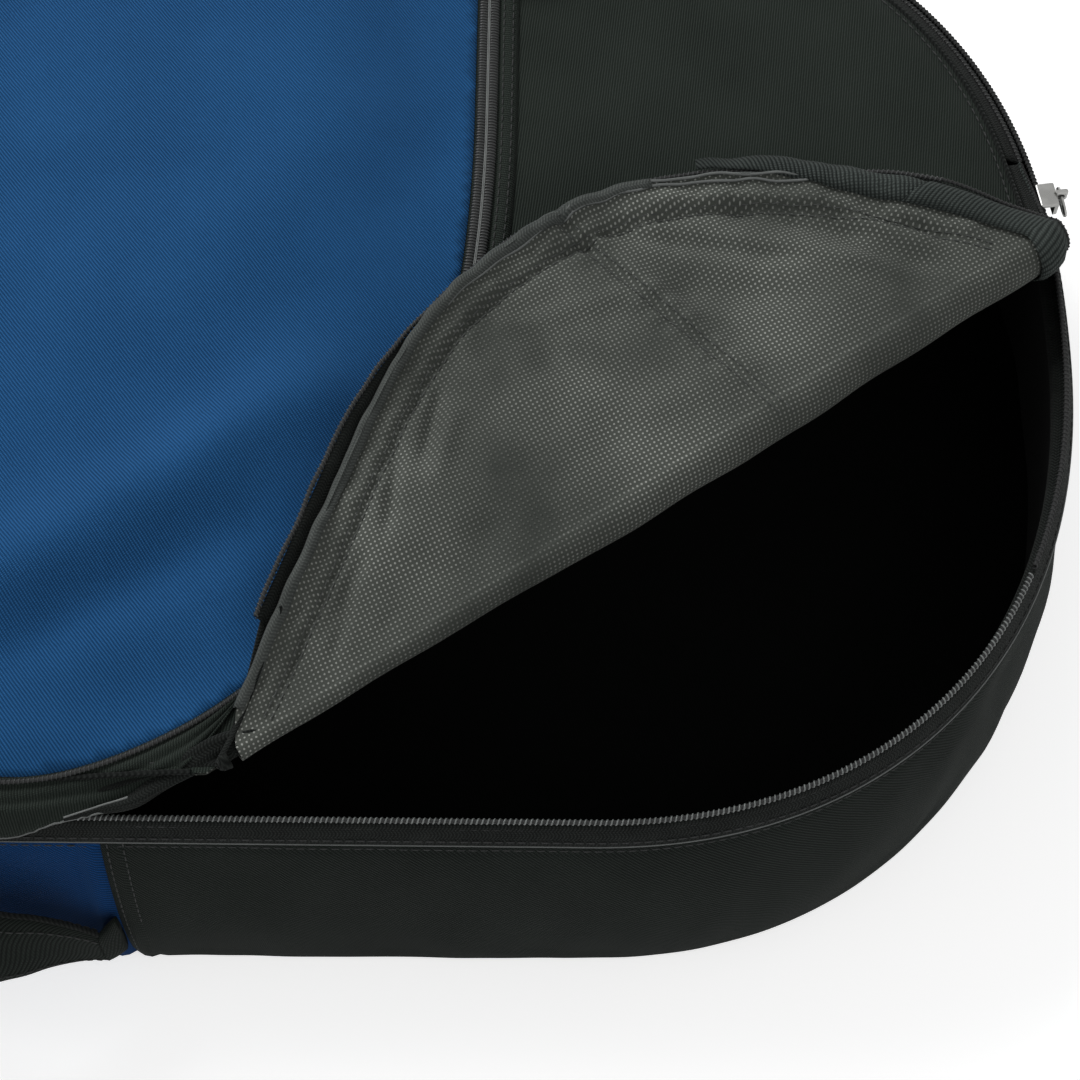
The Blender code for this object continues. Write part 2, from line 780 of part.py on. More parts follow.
def rim_slider(name, pull, run, look, length, width):
    """A slider that rides outside the gusset's coil, and its pull hanging over the wall."""
    plate_low = RIM_HEIGHT + COIL_RADIUS + SLIDER_LIFT
    low = (-SLIDER_LENGTH / 2, 0.0, plate_low - SLIDER_SKIRT)
    high = (SLIDER_LENGTH / 2, SLIDER_OUT, plate_low + SLIDER_PLATE)
    channel_low = (-SLIDER_LENGTH, -SLIDER_OUT, plate_low - SLIDER_SKIRT * 2)
    channel_high = (SLIDER_LENGTH, SLIDER_OUT - SLIDER_FLANGE, plate_low)
    eye_at = (0, PULL_EYE_OUT, PULL_EYE_HEIGHT)
    body = slider_body(name, look, low, high, channel_low, channel_high, eye_at, "X")
    handle = wire_loop(pull, length, width, look)
    handle.data.transform(Matrix.Translation(eye_at) @ Matrix.Rotation(math.pi / 2 + PULL_HANG, 4, "X"))
    outward = RIM.outward(run)
    turn = Matrix.Rotation(math.atan2(-outward.x, outward.y), 4, "Z")
    place = Matrix.Translation(RIM.point(run)) @ turn
    body.data.transform(place)
    handle.data.transform(place)
    placed(body, RIM.offset(run, 0, RIM_HEIGHT))
    placed(handle, RIM.offset(run, PULL_EYE_OUT, PULL_EYE_HEIGHT))


def build_sliders():
    rim_slider("near_slider", "near_pull", RIM.near_run(NEAR_SLIDER_AT), BLACK_METAL, PULL_LENGTH, PULL_WIDTH)
    tail_run = -TAIL_SLIDER_Y
    rim_slider("tail_slider", "tail_pull", tail_run, CHROME, RING_RADIUS * 2, RING_RADIUS * 2)


def build_pocket_slider():
    slider_y = HALF_WIDTH - POCKET_SLIDER_INSET
    coil_x = -POCKET_CROSS + POCKET_COIL_INSET
    coil_top = LID_TOP + 2 * GAP + TAPE_THICK + POCKET_COIL_THICK
    tape_top = LID_TOP + GAP + TAPE_THICK
    reach = POCKET_COIL_WIDTH / 2 + SLIDER_FLANGE
    half = SLIDER_LENGTH / 2
    low = (coil_x - reach, slider_y - half, tape_top + GAP)
    high = (coil_x + reach, slider_y + half, coil_top + GAP + SLIDER_PLATE)
    inner = POCKET_COIL_WIDTH / 2 + GAP
    channel_low = (coil_x - inner, slider_y - half * 2, tape_top)
    channel_high = (coil_x + inner, slider_y + half * 2, coil_top + GAP)
    eye_at = (coil_x, slider_y, coil_top + GAP + SLIDER_PLATE + EYE_STAND)
    slider = slider_body("pocket_slider", BLACK_METAL, low, high, channel_low, channel_high, eye_at, "Y")
    placed(slider, (coil_x, slider_y, coil_top))
    pull = wire_loop("pocket_pull", PULL_LENGTH, PULL_WIDTH, BLACK_METAL)
    pull.data.transform(Matrix.Translation(eye_at) @ Matrix.Rotation(math.pi / 2, 4, "Z"))
    placed(pull, eye_at)


def build_handle():
    """Padded grip bowed out from the near wall, between two tabs sewn into the seams."""
    face = -(HALF_WIDTH + wall_out(HANDLE_HEIGHT))
    start = -ACCENT_END + HANDLE_TAB_LENGTH + GAP
    end = -ACCENT_START - HANDLE_TAB_LENGTH - GAP
    pivot_y = face - HANDLE_STANDOFF
    rings = []
    for step in range(HANDLE_STEPS + 1):
        share = step / HANDLE_STEPS
        swell = math.sin(math.pi * share)
        tall = HANDLE_END_TALL + (HANDLE_TALL - HANDLE_END_TALL) * min(1.0, swell * 1.3)
        thick = HANDLE_END_THICK + (HANDLE_THICK - HANDLE_END_THICK) * swell
        centre = Vector((start + (end - start) * share, pivot_y - HANDLE_BOW * swell ** 1.4,
                         HANDLE_HEIGHT + HANDLE_RISE * swell ** 0.8))
        lean = Matrix.Rotation(-HANDLE_LEAN * swell, 3, "X")
        ring = []
        for index in range(HANDLE_SIDES):
            angle = 2 * math.pi * (index + 0.5) / HANDLE_SIDES
            y = thick / 2 * max(-1.0, min(1.0, HANDLE_FLAT_SIDE * math.cos(angle)))
            z = tall / 2 * max(-1.0, min(1.0, HANDLE_FLAT_EDGE * math.sin(angle)))
            ring.append(centre + lean @ Vector((0, y, z)))
        rings.append(ring)
    grip = smooth(loft("side_handle", rings, BLACK))
    placed(grip, ((start + end) / 2, pivot_y, HANDLE_HEIGHT))
    tab_heights = (HANDLE_HEIGHT + HANDLE_TAB_TALL / 2, HANDLE_HEIGHT - HANDLE_TAB_TALL / 2)
    tab_outer = -HANDLE_STANDOFF - HANDLE_END_THICK / 2
    tab = wall_strip(tab_heights, tab_outer, -GAP - WALL_BOW_SPARE)
    accent_start = RIM.near_run(ACCENT_START)
    accent_end = RIM.near_run(ACCENT_END)
    sweep("handle_tab_head", tab, accent_end - HANDLE_TAB_LENGTH, accent_end, WEBBING)
    sweep("handle_tab_tail", tab, accent_start, accent_start + HANDLE_TAB_LENGTH, WEBBING)


def build_hang_loop():
    """Teardrop loop of webbing sewn to the head end."""
    outlines = []
    for inset in (0.0, LOOP_THICK):
        outline = []
        for index in range(LOOP_POINTS):
            angle = 2 * math.pi * index / LOOP_POINTS
            reach = (LOOP_REACH - 2 * inset) / 2
            tall = (LOOP_TALL / 2 - inset) * math.sin(angle) * math.sin(angle / 2) ** LOOP_PINCH
            outline.append((reach * math.cos(angle) - LOOP_REACH / 2, tall))
        outlines.append(outline)
    loop = baked(plate("hang_loop", outlines, -LOOP_WIDTH / 2, LOOP_WIDTH / 2, WEBBING))
    turn = Matrix.Rotation(-LOOP_DROOP, 4, "Y") @ Matrix.Rotation(math.pi / 2, 4, "X")
    loop.data.transform(turn)
    loop.location = (-LENGTH - wall_out(LOOP_HEIGHT) - GAP * 2, 0, LOOP_HEIGHT)


def rounded_outline(low_x, high_x, half, radius):
    """Rectangle along X with round corners."""
    outline = []
    corners = ((high_x - radius, half - radius, 0), (low_x + radius, half - radius, 1),
               (low_x + radius, radius - half, 2), (high_x - radius, radius - half, 3))
    for x, y, quarter in corners:
        for step in range(4):
            angle = math.pi / 2 * (quarter + step / 3)
            outline.append((x + radius * math.cos(angle), y + radius * math.sin(angle)))
    return outline


def strap_frame(side):
    """Place of a strap: its head end and the turn that lays it along its line."""
    head = Vector((-STRAP_HEAD_AT, side * STRAP_HEAD_Y, 0))
    tail = Vector((-STRAP_TAIL_AT, side * STRAP_TAIL_Y, 0))
    along = tail - head
    turn = Matrix.Rotation(math.atan2(along.y, along.x), 4, "Z")
    return Matrix.Translation(head) @ turn, along.length


def build_straps():
    """Padded shoulder straps with their webbing, adjusters and sewn ends."""
    web_low = STRAP_THICK - PATCH_THICK - GAP - WEB_THICK
    web_high = web_low + WEB_THICK
    for name, side in (("left", -1), ("right", 1)):
        place, pad_length = strap_frame(side)
        web_end = pad_length + GAP + WEB_LENGTH
        anchor_start = web_end - ANCHOR_OVER_WEB
        pad = rounded_outline(0, pad_length, STRAP_WIDTH / 2, STRAP_CORNER)
        web = rounded_outline(pad_length + GAP, web_end, WEB_WIDTH / 2, WEB_CORNER)
        yoke = rounded_outline(-PATCH_LENGTH, -GAP, STRAP_WIDTH / 2, WEB_CORNER)
        anchor = rounded_outline(anchor_start, anchor_start + ANCHOR_LENGTH, ANCHOR_WIDTH / 2, WEB_CORNER)
        plates = (
            ("strap_pad_" + name, pad, 0.0, STRAP_THICK, BLACK),
            ("strap_web_" + name, web, web_low, web_high, WEBBING),
            ("strap_yoke_" + name, yoke, STRAP_THICK - PATCH_THICK, STRAP_THICK, WEBBING),
            ("strap_anchor_" + name, anchor, STRAP_THICK - PATCH_THICK, STRAP_THICK, WEBBING),
        )
        for title, outline, low, high, look in plates:
            made = baked(plate(title, [outline], low, high, look))
            made.data.transform(place @ made.matrix_world)
            made.matrix_world = Matrix.Identity(4)
        start = pad_length + ADJUSTER_ALONG
        rim = ADJUSTER_RIM + WEB_WIDTH / 2
        low = (start, -rim, web_low - GAP - ADJUSTER_WALL)
        high = (start + ADJUSTER_LENGTH, rim, web_high + GAP + ADJUSTER_WALL)
        adjuster = bevelled(box("strap_adjuster_" + name, low, high, PLASTIC), ADJUSTER_WALL * 0.3)
        slot_low = (start - GAP, -WEB_WIDTH / 2 - GAP, web_low - GAP)
        slot_high = (start + ADJUSTER_LENGTH + GAP, WEB_WIDTH / 2 + GAP, web_high + GAP)
        slot = as_cutter(box("strap_slot_cut_" + name, slot_low, slot_high, None, CUTTERS))
        baked(boolean(adjuster, slot, "DIFFERENCE"))
        adjuster.data.transform(place)
        placed(adjuster, place @ Vector((start, 0, web_low)))


def stand_on_origin():
    """Hang every object on an empty that puts the origin under the middle of the bag."""
    bpy.context.view_layer.update()
    corners = []
    for obj in PARTS.objects:
        corners.extend(obj.matrix_world @ vertex.co for vertex in obj.data.vertices)
    low_x, high_x = min(place.x for place in corners), max(place.x for place in corners)
    low_y, high_y = min(place.y for place in corners), max(place.y for place in corners)
    frame = bpy.data.objects.new("bag_frame", None)
    PARTS.objects.link(frame)
    frame.location = (-(low_x + high_x) / 2, -(low_y + high_y) / 2, 0)
    for obj in list(PARTS.objects) + list(CUTTERS.objects):
        if obj is not frame:
            obj.parent = frame
    bpy.context.view_layer.update()
    return frame


LID_ZONE = corner_zone("lid_zone", -GAP / 2)
FLAP_ZONE = corner_zone("flap_zone", GAP / 2)
FLAP_ZIP_ZONE = corner_zone("flap_zip_zone", FOLD_ZIP_CLEAR)
POCKET_BORDER = border_zone("pocket_border", LID_SHOULDER_INSET)

build_wall()
build_back()
build_gusset_zip()
build_lid_layers()
build_lid_zip()
build_roll()
build_pocket()
build_sliders()
build_pocket_slider()
build_handle()
build_hang_loop()
build_straps()
BAG_FRAME = stand_on_origin()
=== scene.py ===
"""Acoustic guitar gig bag with its tail corner folded open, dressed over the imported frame.

Lengths are metres. Local places are measured from the middle of the rim's tail: x is negative
towards the head, y is negative towards the carry handle and z is the height above the floor.
"""
import json
import math

import bpy
import numpy as np
from mathutils import Matrix, Vector
from mathutils.geometry import delaunay_2d_cdt


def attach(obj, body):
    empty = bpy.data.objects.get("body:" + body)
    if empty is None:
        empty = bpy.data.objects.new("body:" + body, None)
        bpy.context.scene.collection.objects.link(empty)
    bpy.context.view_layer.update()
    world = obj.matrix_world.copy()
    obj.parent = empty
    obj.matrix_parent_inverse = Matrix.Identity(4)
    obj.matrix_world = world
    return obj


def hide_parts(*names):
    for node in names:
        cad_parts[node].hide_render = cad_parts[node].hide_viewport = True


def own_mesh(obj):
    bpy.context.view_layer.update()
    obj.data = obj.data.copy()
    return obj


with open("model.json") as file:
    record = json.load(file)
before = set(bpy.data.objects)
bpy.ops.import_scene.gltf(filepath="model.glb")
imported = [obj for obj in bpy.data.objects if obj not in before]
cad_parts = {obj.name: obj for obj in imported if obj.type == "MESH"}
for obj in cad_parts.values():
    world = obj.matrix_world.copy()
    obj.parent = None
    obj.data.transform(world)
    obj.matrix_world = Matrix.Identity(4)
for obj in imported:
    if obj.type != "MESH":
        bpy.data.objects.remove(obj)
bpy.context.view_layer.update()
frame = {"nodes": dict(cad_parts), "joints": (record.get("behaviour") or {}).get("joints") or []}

# Driving sizes of the bag, as in the frame
LENGTH = 1.080
HALF_WIDTH = 0.213
TAIL_CORNER = 0.185
TAIL_POWER_X = 2.19
TAIL_POWER_Y = 2.30
BODY_END = 0.500
NECK_START = 0.700
NECK_HALF_WIDTH = 0.098
HEAD_CORNER = 0.085
HEAD_POWER = 2.3
RIM_HEIGHT = 0.1195
WALL_TOP = 0.107
SEAM_OUT = 0.006
WALL_BULGE = 0.011
WALL_BULGE_TURN = 0.72 * math.pi
PAD_THICK = 0.0062
BACK_HEIGHT = 0.009
ACCENT_START = 0.360
ACCENT_END = 0.500
COIL_OUT = 0.00145
ZIP_END_BEFORE_HEAD = 0.120
LID_TOP = 0.131
LID_EDGE_HEIGHT = 0.1255
LID_EDGE_INSET = 0.010
LID_SHOULDER_INSET = 0.027
FOLD_NEAR = np.array((-0.2935, -0.1840))
FOLD_TAIL = np.array((-0.0283, 0.0089))
FOLD_HEIGHT = 0.1355
FLAP_RISE = math.tan(math.radians(2.1))
ROLL_RADIUS = 0.0045
POCKET_CROSS = 0.2315
POCKET_SWEEP_Y = 0.090
POCKET_SWEEP_LENGTH = 0.1690
POCKET_SWEEP_POWER = 2.3
POCKET_NEAR_EDGE = 0.2030
POCKET_HEAD = 0.640
POCKET_ZIP_END = 0.500

# Steps, thicknesses and pitches of the cloth work
RUN_STEP = 0.0030
TAPE_THICK = 0.0007
BINDING_THICK = 0.0009
COIL_PITCH = 0.0019
STITCH_LENGTH = 0.0030
STITCH_PITCH = 0.0041

# Place of the rim's tail in the frame, from the lid's hinge at the head end
HINGE = next(joint for joint in frame["joints"] if joint["name"] == "lid_hinge")["pos_m"]
TAIL_X = HINGE[0] + LENGTH
MIDDLE_Y = HINGE[1]
TO_FRAME = np.array((TAIL_X, MIDDLE_Y, 0.0))


def pad_array(points):
    points = np.asarray(points, float)
    if points.shape[-1] == 2:
        points = np.concatenate([points, np.zeros(points.shape[:-1] + (1,))], axis=-1)
    return points


def raised(plan, height):
    """Plan points lifted to their heights."""
    return np.concatenate([plan, height[:, None]], axis=1)


def unit(vectors):
    return vectors / (np.linalg.norm(vectors, axis=-1, keepdims=True) + 1e-12)


def run_lengths(points):
    """Length along a path up to each of its points."""
    return np.concatenate([[0], np.cumsum(np.linalg.norm(np.diff(points, axis=0), axis=1))])


def at_marks(marks, length, points):
    """Points at marks along a path whose own points lie at the given lengths."""
    return np.stack([np.interp(marks, length, points[:, axis]) for axis in range(points.shape[1])], axis=1)


def uv_grid(along, across):
    return np.stack(np.broadcast_arrays(np.asarray(along)[:, None], across[None, :]), axis=-1)


def circle_angles(count):
    return 2 * math.pi * np.arange(count) / count


def ridge(gap, width):
    """1 on a line, falling to 0 at a few widths from it."""
    return np.exp(-(gap / width) ** 2)


def nearest_gap(points, line):
    """Distance of plan points from the nearest point of a line."""
    best = np.full(len(points), 1e9)
    for start in range(0, len(points), 2000):
        block = points[start:start + 2000]
        best[start:start + 2000] = np.linalg.norm(block[:, None] - line[None], axis=-1).min(axis=1)
    return best


def mesh_piece(name, points, faces, uvs, materials, body):
    """Make a mesh piece from local points; the uvs are metres on the cloth."""
    mesh = bpy.data.meshes.new(name)
    points = pad_array(points).reshape(-1, 3) + TO_FRAME
    faces = np.asarray(faces, np.int32)
    corners = faces.shape[1]
    mesh.vertices.add(len(points))
    mesh.vertices.foreach_set("co", points.astype(np.float32).ravel())
    mesh.loops.add(faces.size)
    mesh.loops.foreach_set("vertex_index", faces.ravel())
    mesh.polygons.add(len(faces))
    mesh.polygons.foreach_set("loop_start", np.arange(0, faces.size, corners, dtype=np.int32))
    mesh.polygons.foreach_set("use_smooth", np.ones(len(faces), bool))
    mesh.update(calc_edges=True)
    if uvs is not None:
        layer = mesh.uv_layers.new(name="cloth")
        layer.data.foreach_set("uv", np.asarray(uvs, np.float32).reshape(-1, 2)[faces.ravel()].ravel())
    mesh.validate()
    obj = bpy.data.objects.new(name, mesh)
    bpy.context.scene.collection.objects.link(obj)
    for item in materials if isinstance(materials, (list, tuple)) else [materials]:
        mesh.materials.append(item)
    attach(obj, body)
    return obj


def grid_faces(rows, columns, close_rows=False, close_columns=False):
    """Quads of a grid of points, with either direction closed on itself if asked."""
    last_row = rows if close_rows else rows - 1
    last_column = columns if close_columns else columns - 1
    row = np.arange(last_row)[:, None]
    column = np.arange(last_column)[None, :]
    here = row * columns + column
    right = row * columns + (column + 1) % columns
    below = ((row + 1) % rows) * columns + column
    corner = ((row + 1) % rows) * columns + (column + 1) % columns
    return np.stack([here, right, corner, below], axis=-1).reshape(-1, 4)


def grid_piece(name, points, uvs, material, body, close_rows=False, close_columns=False):
    rows, columns = points.shape[:2]
    faces = grid_faces(rows, columns, close_rows, close_columns)
    return mesh_piece(name, points, faces, uvs, material, body)


def thicken(obj, thickness, offset=-1.0):
    modifier = obj.modifiers.new("cloth thickness", "SOLIDIFY")
    modifier.thickness = thickness
    modifier.offset = offset
    modifier.use_even_offset = False
    return obj


# The rim

def superellipse(share, along, across):
    return np.maximum(0.0, 1 - (1 - share) ** along) ** (1 / across)


def half_width(at):
    at = np.asarray(at, float)
    tail = HALF_WIDTH * superellipse(np.clip(at / TAIL_CORNER, 0, 1), TAIL_POWER_X, TAIL_POWER_Y)
    share = np.clip((at - BODY_END) / (NECK_START - BODY_END), 0, 1)
    middle = HALF_WIDTH + (NECK_HALF_WIDTH - HALF_WIDTH) * (1 - np.cos(math.pi * share)) / 2
    head_share = np.clip((LENGTH - at) / HEAD_CORNER, 0, 1)
    head = NECK_HALF_WIDTH * superellipse(head_share, HEAD_POWER, HEAD_POWER)
    width = np.where(at < TAIL_CORNER, tail, middle)
    return np.where(at > LENGTH - HEAD_CORNER, head, width)


DENSE = 6000
DENSE_AT = LENGTH * (1 - np.cos(math.pi * np.arange(DENSE + 1) / DENSE)) / 2
DENSE_LINE = np.stack([-DENSE_AT, -half_width(DENSE_AT)], axis=1)
DENSE_RUN = run_lengths(DENSE_LINE)
HALF_RUN = DENSE_RUN[-1]
ZIP_END_RUN = HALF_RUN - ZIP_END_BEFORE_HEAD


def rim_points(runs):
    """Points of the rim at runs from the tail's middle, near side positive."""
    runs = np.asarray(runs, float)
    distance = np.abs(runs)
    distance = np.where(distance > HALF_RUN, 2 * HALF_RUN - distance, distance)
    side = np.where((runs < 0) != (np.abs(runs) > HALF_RUN), -1.0, 1.0)
    x = np.interp(distance, DENSE_RUN, DENSE_LINE[:, 0])
    y = np.interp(distance, DENSE_RUN, DENSE_LINE[:, 1]) * side
    return np.stack([x, y], axis=-1)


def rim_outward(runs):
    reach = 0.003
    along = unit(rim_points(runs + reach) - rim_points(runs - reach))
    return np.stack([-along[..., 1], along[..., 0]], axis=-1)


def beside_rim(runs, outs, heights):
    """Points beside the rim; the three arguments broadcast against each other."""
    runs, outs, heights = np.broadcast_arrays(np.asarray(runs, float), outs, heights)
    flat = rim_points(runs) + rim_outward(runs) * np.asarray(outs, float)[..., None]
    return np.concatenate([flat, np.asarray(heights, float)[..., None]], axis=-1)


def inset_plan(runs, inset):
    """Plan points at an inset from the rim."""
    return beside_rim(runs, -inset, 0)[:, :2]


def near_run(at):
    """Run of the near side point at a distance from the tail."""
    return float(np.interp(at, DENSE_AT, DENSE_RUN))


def runs_between(start, end, spacing=0.0035):
    return np.linspace(start, end, max(2, int(round((end - start) / spacing)) + 1))


def rim_inset(points):
    """Distance of plan points from the rim, positive inside."""
    line = np.concatenate([DENSE_LINE[::12], DENSE_LINE[::-12] * (1, -1)])
    gap = nearest_gap(points, line)
    inside = np.abs(points[:, 1]) < half_width(np.clip(-points[:, 0], 0, LENGTH))
    return np.where(inside, gap, -gap)


FOLD_ALONG = (FOLD_TAIL - FOLD_NEAR) / np.linalg.norm(FOLD_TAIL - FOLD_NEAR)
FOLD_ACROSS = np.array((FOLD_ALONG[1], -FOLD_ALONG[0]))


def across_fold(points):
    return (np.asarray(points) - FOLD_NEAR) @ FOLD_ACROSS


def along_fold(points):
    return (np.asarray(points) - FOLD_NEAR) @ FOLD_ALONG


def fold_point(along):
    return FOLD_NEAR + along * FOLD_ALONG


def fold_run(side):
    """Run at which the fold plane crosses the rim, near side 1 or far side -1."""
    runs = side * np.arange(0, 0.9, 0.0005)
    beyond = across_fold(rim_points(runs)) > 0
    return float(runs[np.argmin(beyond)])


NEAR_FOLD_RUN = fold_run(1)
TAIL_FOLD_RUN = fold_run(-1)


def ripple(x, y, seed, size):
    """Smooth repeatable unevenness from -1 to 1 with folds of about the given size."""
    total = 0.0
    for index in range(5):
        turn = seed * 1.7 + index * 2.399
        wave = 2 * math.pi / (size * (0.75 + 0.35 * ((index * 7 + seed * 3) % 5) / 4))
        along = x * math.cos(turn) + y * math.sin(turn)
        side = -x * math.sin(turn) + y * math.cos(turn)
        total = total + np.sin(wave * along + 1.3 * np.sin(wave * 0.45 * side + turn) + turn * 3)
    return total / 3.2


def plan_ripple(plan, seed, size):
    return ripple(plan[:, 0], plan[:, 1], seed, size)


# Materials

class Value:
    """Output of a node; sums and products of values make math nodes."""

    def __init__(self, graph, socket):
        self.graph = graph
        self.socket = socket

    def __add__(self, other):
        return self.graph.math("ADD", self, other)

    def __sub__(self, other):
        return self.graph.math("SUBTRACT", self, other)

    def __rsub__(self, other):
        return self.graph.math("SUBTRACT", other, self)

    def __mul__(self, other):
        return self.graph.math("MULTIPLY", self, other)

    def __truediv__(self, other):
        return self.graph.math("DIVIDE", self, other)

    def limited(self):
        """The same value kept from 0 to 1."""
        return self.graph.math("ADD", self, 0.0, clamp=True)


class Graph:
    """Short calls for the nodes of a material, or of the world."""

    def __init__(self, owner, shader="Principled BSDF"):
        owner.use_nodes = True
        self.owner = owner
        self.nodes = owner.node_tree.nodes
        self.links = owner.node_tree.links
        self.inputs = self.nodes[shader].inputs

    def feed(self, socket, value):
        """Link a value to a socket, or write a number or a colour on it."""
        if isinstance(value, Value):
            self.links.new(value.socket, socket)
        elif isinstance(value, tuple):
            socket.default_value = (*value, 1)
        else:
            socket.default_value = value

    def math(self, operation, *values, clamp=False):
        node = self.nodes.new("ShaderNodeMath")
        node.operation = operation
        node.use_clamp = clamp
        for socket, value in zip(node.inputs, values):
            self.feed(socket, value)
        return Value(self, node.outputs[0])

    def wave(self, along, pitch):
        """Sine of a length, from 0 to 1."""
        return self.math("SINE", along * (2 * math.pi / pitch)) * 0.5 + 0.5

    def mix(self, share, first, second):
        node = self.nodes.new("ShaderNodeMix")
        node.data_type = "RGBA"
        for index, value in ((0, share), (6, first), (7, second)):
            self.feed(node.inputs[index], value)
        return Value(self, node.outputs[2])

    def noise(self, scale, detail=3.0):
        """Unevenness of the object itself."""
        node = self.nodes.new("ShaderNodeTexNoise")
        node.inputs["Scale"].default_value = scale
        node.inputs["Detail"].default_value = detail
        self.links.new(self.nodes.new("ShaderNodeTexCoord").outputs["Object"], node.inputs["Vector"])
        return Value(self, node.outputs["Fac"])

    def cloth_axes(self, turn):
        """The uv's two lengths after a turn."""
        uv = self.nodes.new("ShaderNodeUVMap")
        uv.uv_map = "cloth"
        mapping = self.nodes.new("ShaderNodeMapping")
        mapping.inputs["Rotation"].default_value = (0, 0, turn)
        self.links.new(uv.outputs["UV"], mapping.inputs["Vector"])
        split = self.nodes.new("ShaderNodeSeparateXYZ")
        self.links.new(mapping.outputs["Vector"], split.inputs["Vector"])
        return Value(self, split.outputs["X"]), Value(self, split.outputs["Y"])

    def finish(self, colour, height, depth, constants):
        """Feed the shader its colour and bump, write its constants and give the material."""
        self.feed(self.inputs["Base Color"], colour)
        bump = self.nodes.new("ShaderNodeBump")
        bump.inputs["Distance"].default_value = depth
        bump.inputs["Strength"].default_value = 1.0
        self.feed(bump.inputs["Height"], height)
        self.links.new(bump.outputs["Normal"], self.inputs["Normal"])
        for socket, value in constants.items():
            self.inputs[socket].default_value = value
        return self.owner


def woven(name, dark, light, pitch, turn, depth=0.00030, roughness=0.85, mottle=0.45):
    """Twill: diagonal ribs crossed by finer threads, with uneven dye and a soft sheen."""
    graph = Graph(bpy.data.materials.new(name))
    x, y = graph.cloth_axes(turn)
    x = graph.noise(260.0, 2.0) * (pitch * 0.35) + x
    rib = graph.wave(x + y, pitch)
    thread = graph.wave(x - y, pitch * 0.62) * 0.55 + 0.45
    height = graph.noise(1900.0, 2.0) * 0.25 + graph.math("POWER", rib, 0.8) * thread
    dye = graph.noise(22.0, 4.0) * mottle - mottle / 2
    return graph.finish(graph.mix((height + dye).limited(), dark, light), height, depth, {
        "Roughness": roughness, "Specular IOR Level": 0.05, "Sheen Weight": 0.03, "Sheen Roughness": 0.5})


def ribbed(name, dark, light, pitch, depth=0.00025):
    """Tape or webbing: cross ribs with a herringbone in their middle."""
    graph = Graph(bpy.data.materials.new(name))
    x, y = graph.cloth_axes(0.0)
    zigzag = graph.math("ABSOLUTE", graph.wave(y, 0.0085) - 0.5)
    height = graph.wave(zigzag * (pitch * 1.6) + x, pitch) * (graph.wave(y, pitch * 0.8) * 0.5 + 0.5)
    share = (graph.noise(160.0) * 0.45 + (height * 0.7 - 0.2)).limited()
    return graph.finish(graph.mix(share, dark, light), height, depth, {
        "Roughness": 0.8, "Specular IOR Level": 0.06, "Sheen Weight": 0.03})


def dimpled(name, dark, light, dot, pitch, turn):
    """Charcoal lining with staggered rows of fine light dots pressed into it, and broad patches of painted
    light and shade.
    """
    graph = Graph(bpy.data.materials.new(name))
    x, y = graph.cloth_axes(turn)
    x = graph.noise(60.0, 2.0) * (pitch * 0.5) + x
    row = y / (pitch * 0.5)
    stagger = graph.math("MODULO", graph.math("ABSOLUTE", graph.math("FLOOR", row)), 2.0) * 0.5
    off_x = (graph.math("FRACT", x / pitch + stagger) - 0.5) * pitch
    off_y = (graph.math("FRACT", row) - 0.5) * (pitch * 0.5)
    far = graph.math("SQRT", off_x * off_x + off_y * off_y)
    spot = (1.0 - far / (pitch * 0.21)).limited()
    spot = graph.math("SMOOTH_MIN", spot * 2.2, 1.0, 0.3)
    # Broad patches of this noise make the ground and the dots lighter in some places and darker in others:
    # painted light and shade of the lining
    wear_and_painted_light = graph.noise(16.0)
    painted_lit_dots = (spot * (wear_and_painted_light * 1.8 - 0.42)).limited()
    fuzz = graph.noise(1500.0, 2.0)
    ground = graph.mix((fuzz * 0.35 + (wear_and_painted_light * 1.4 - 0.42)).limited(), dark, light)
    return graph.finish(graph.mix(painted_lit_dots, ground, dot), fuzz * 0.3 + (1.0 - spot), 0.00035, {
        "Roughness": 0.7, "Specular IOR Level": 0.10, "Sheen Weight": 0.05})


def plain(name, colour, roughness, metallic=0.0, grain=0.00004, wear_and_painted_light=None):
    """Moulded, lacquered or plated surface with a fine grain and worn patches."""
    graph = Graph(bpy.data.materials.new(name))
    patch = graph.noise(120.0, 4.0)
    graph.feed(graph.inputs["Roughness"], patch * 0.18 + (roughness - 0.09))
    worn = wear_and_painted_light or tuple(min(1.0, channel * 1.5 + 0.01) for channel in colour)
    tint = graph.mix((patch * 2.0 - 0.8).limited(), colour, worn)
    return graph.finish(tint, graph.noise(900.0, 2.0), grain, {"Metallic": metallic})


BLACK_CLOTH = woven("black polyester twill", (0.0022, 0.0032, 0.0027), (0.0180, 0.0235, 0.0200), 0.00185, 0.0)
LID_CLOTH = woven("black lid twill", (0.0060, 0.0085, 0.0070), (0.0350, 0.0440, 0.0375), 0.00150, 0.9)
BLUE_CLOTH = woven("blue polyester twill", (0.0030, 0.0260, 0.0780), (0.0260, 0.1300, 0.3350), 0.00160, 0.12,
                   mottle=0.30)
# A darker copy of the pocket's blue polyester: painted shade of the side wall
BLUE_WALL = woven("blue wall twill", (0.0003, 0.0120, 0.0450), (0.0050, 0.0600, 0.2100), 0.00170, 0.0)
BLACK_LINING = woven("black brushed lining", (0.0014, 0.0017, 0.0015), (0.0050, 0.0056, 0.0052), 0.0016, 0.5,
                     depth=0.0001, roughness=0.95)
DIMPLED = dimpled("charcoal dotted lining", (0.0300, 0.0340, 0.0300), (0.1000, 0.1080, 0.0950),
                  (0.4800, 0.4950, 0.4600), 0.0026, 0.05)
TAPE = ribbed("zipper tape", (0.0050, 0.0060, 0.0055), (0.0300, 0.0340, 0.0315), 0.0013)
BAND = woven("coarse edge binding", (0.0060, 0.0080, 0.0076), (0.0800, 0.0940, 0.0880), 0.00240, 0.55,
             depth=0.0005, mottle=0.7)
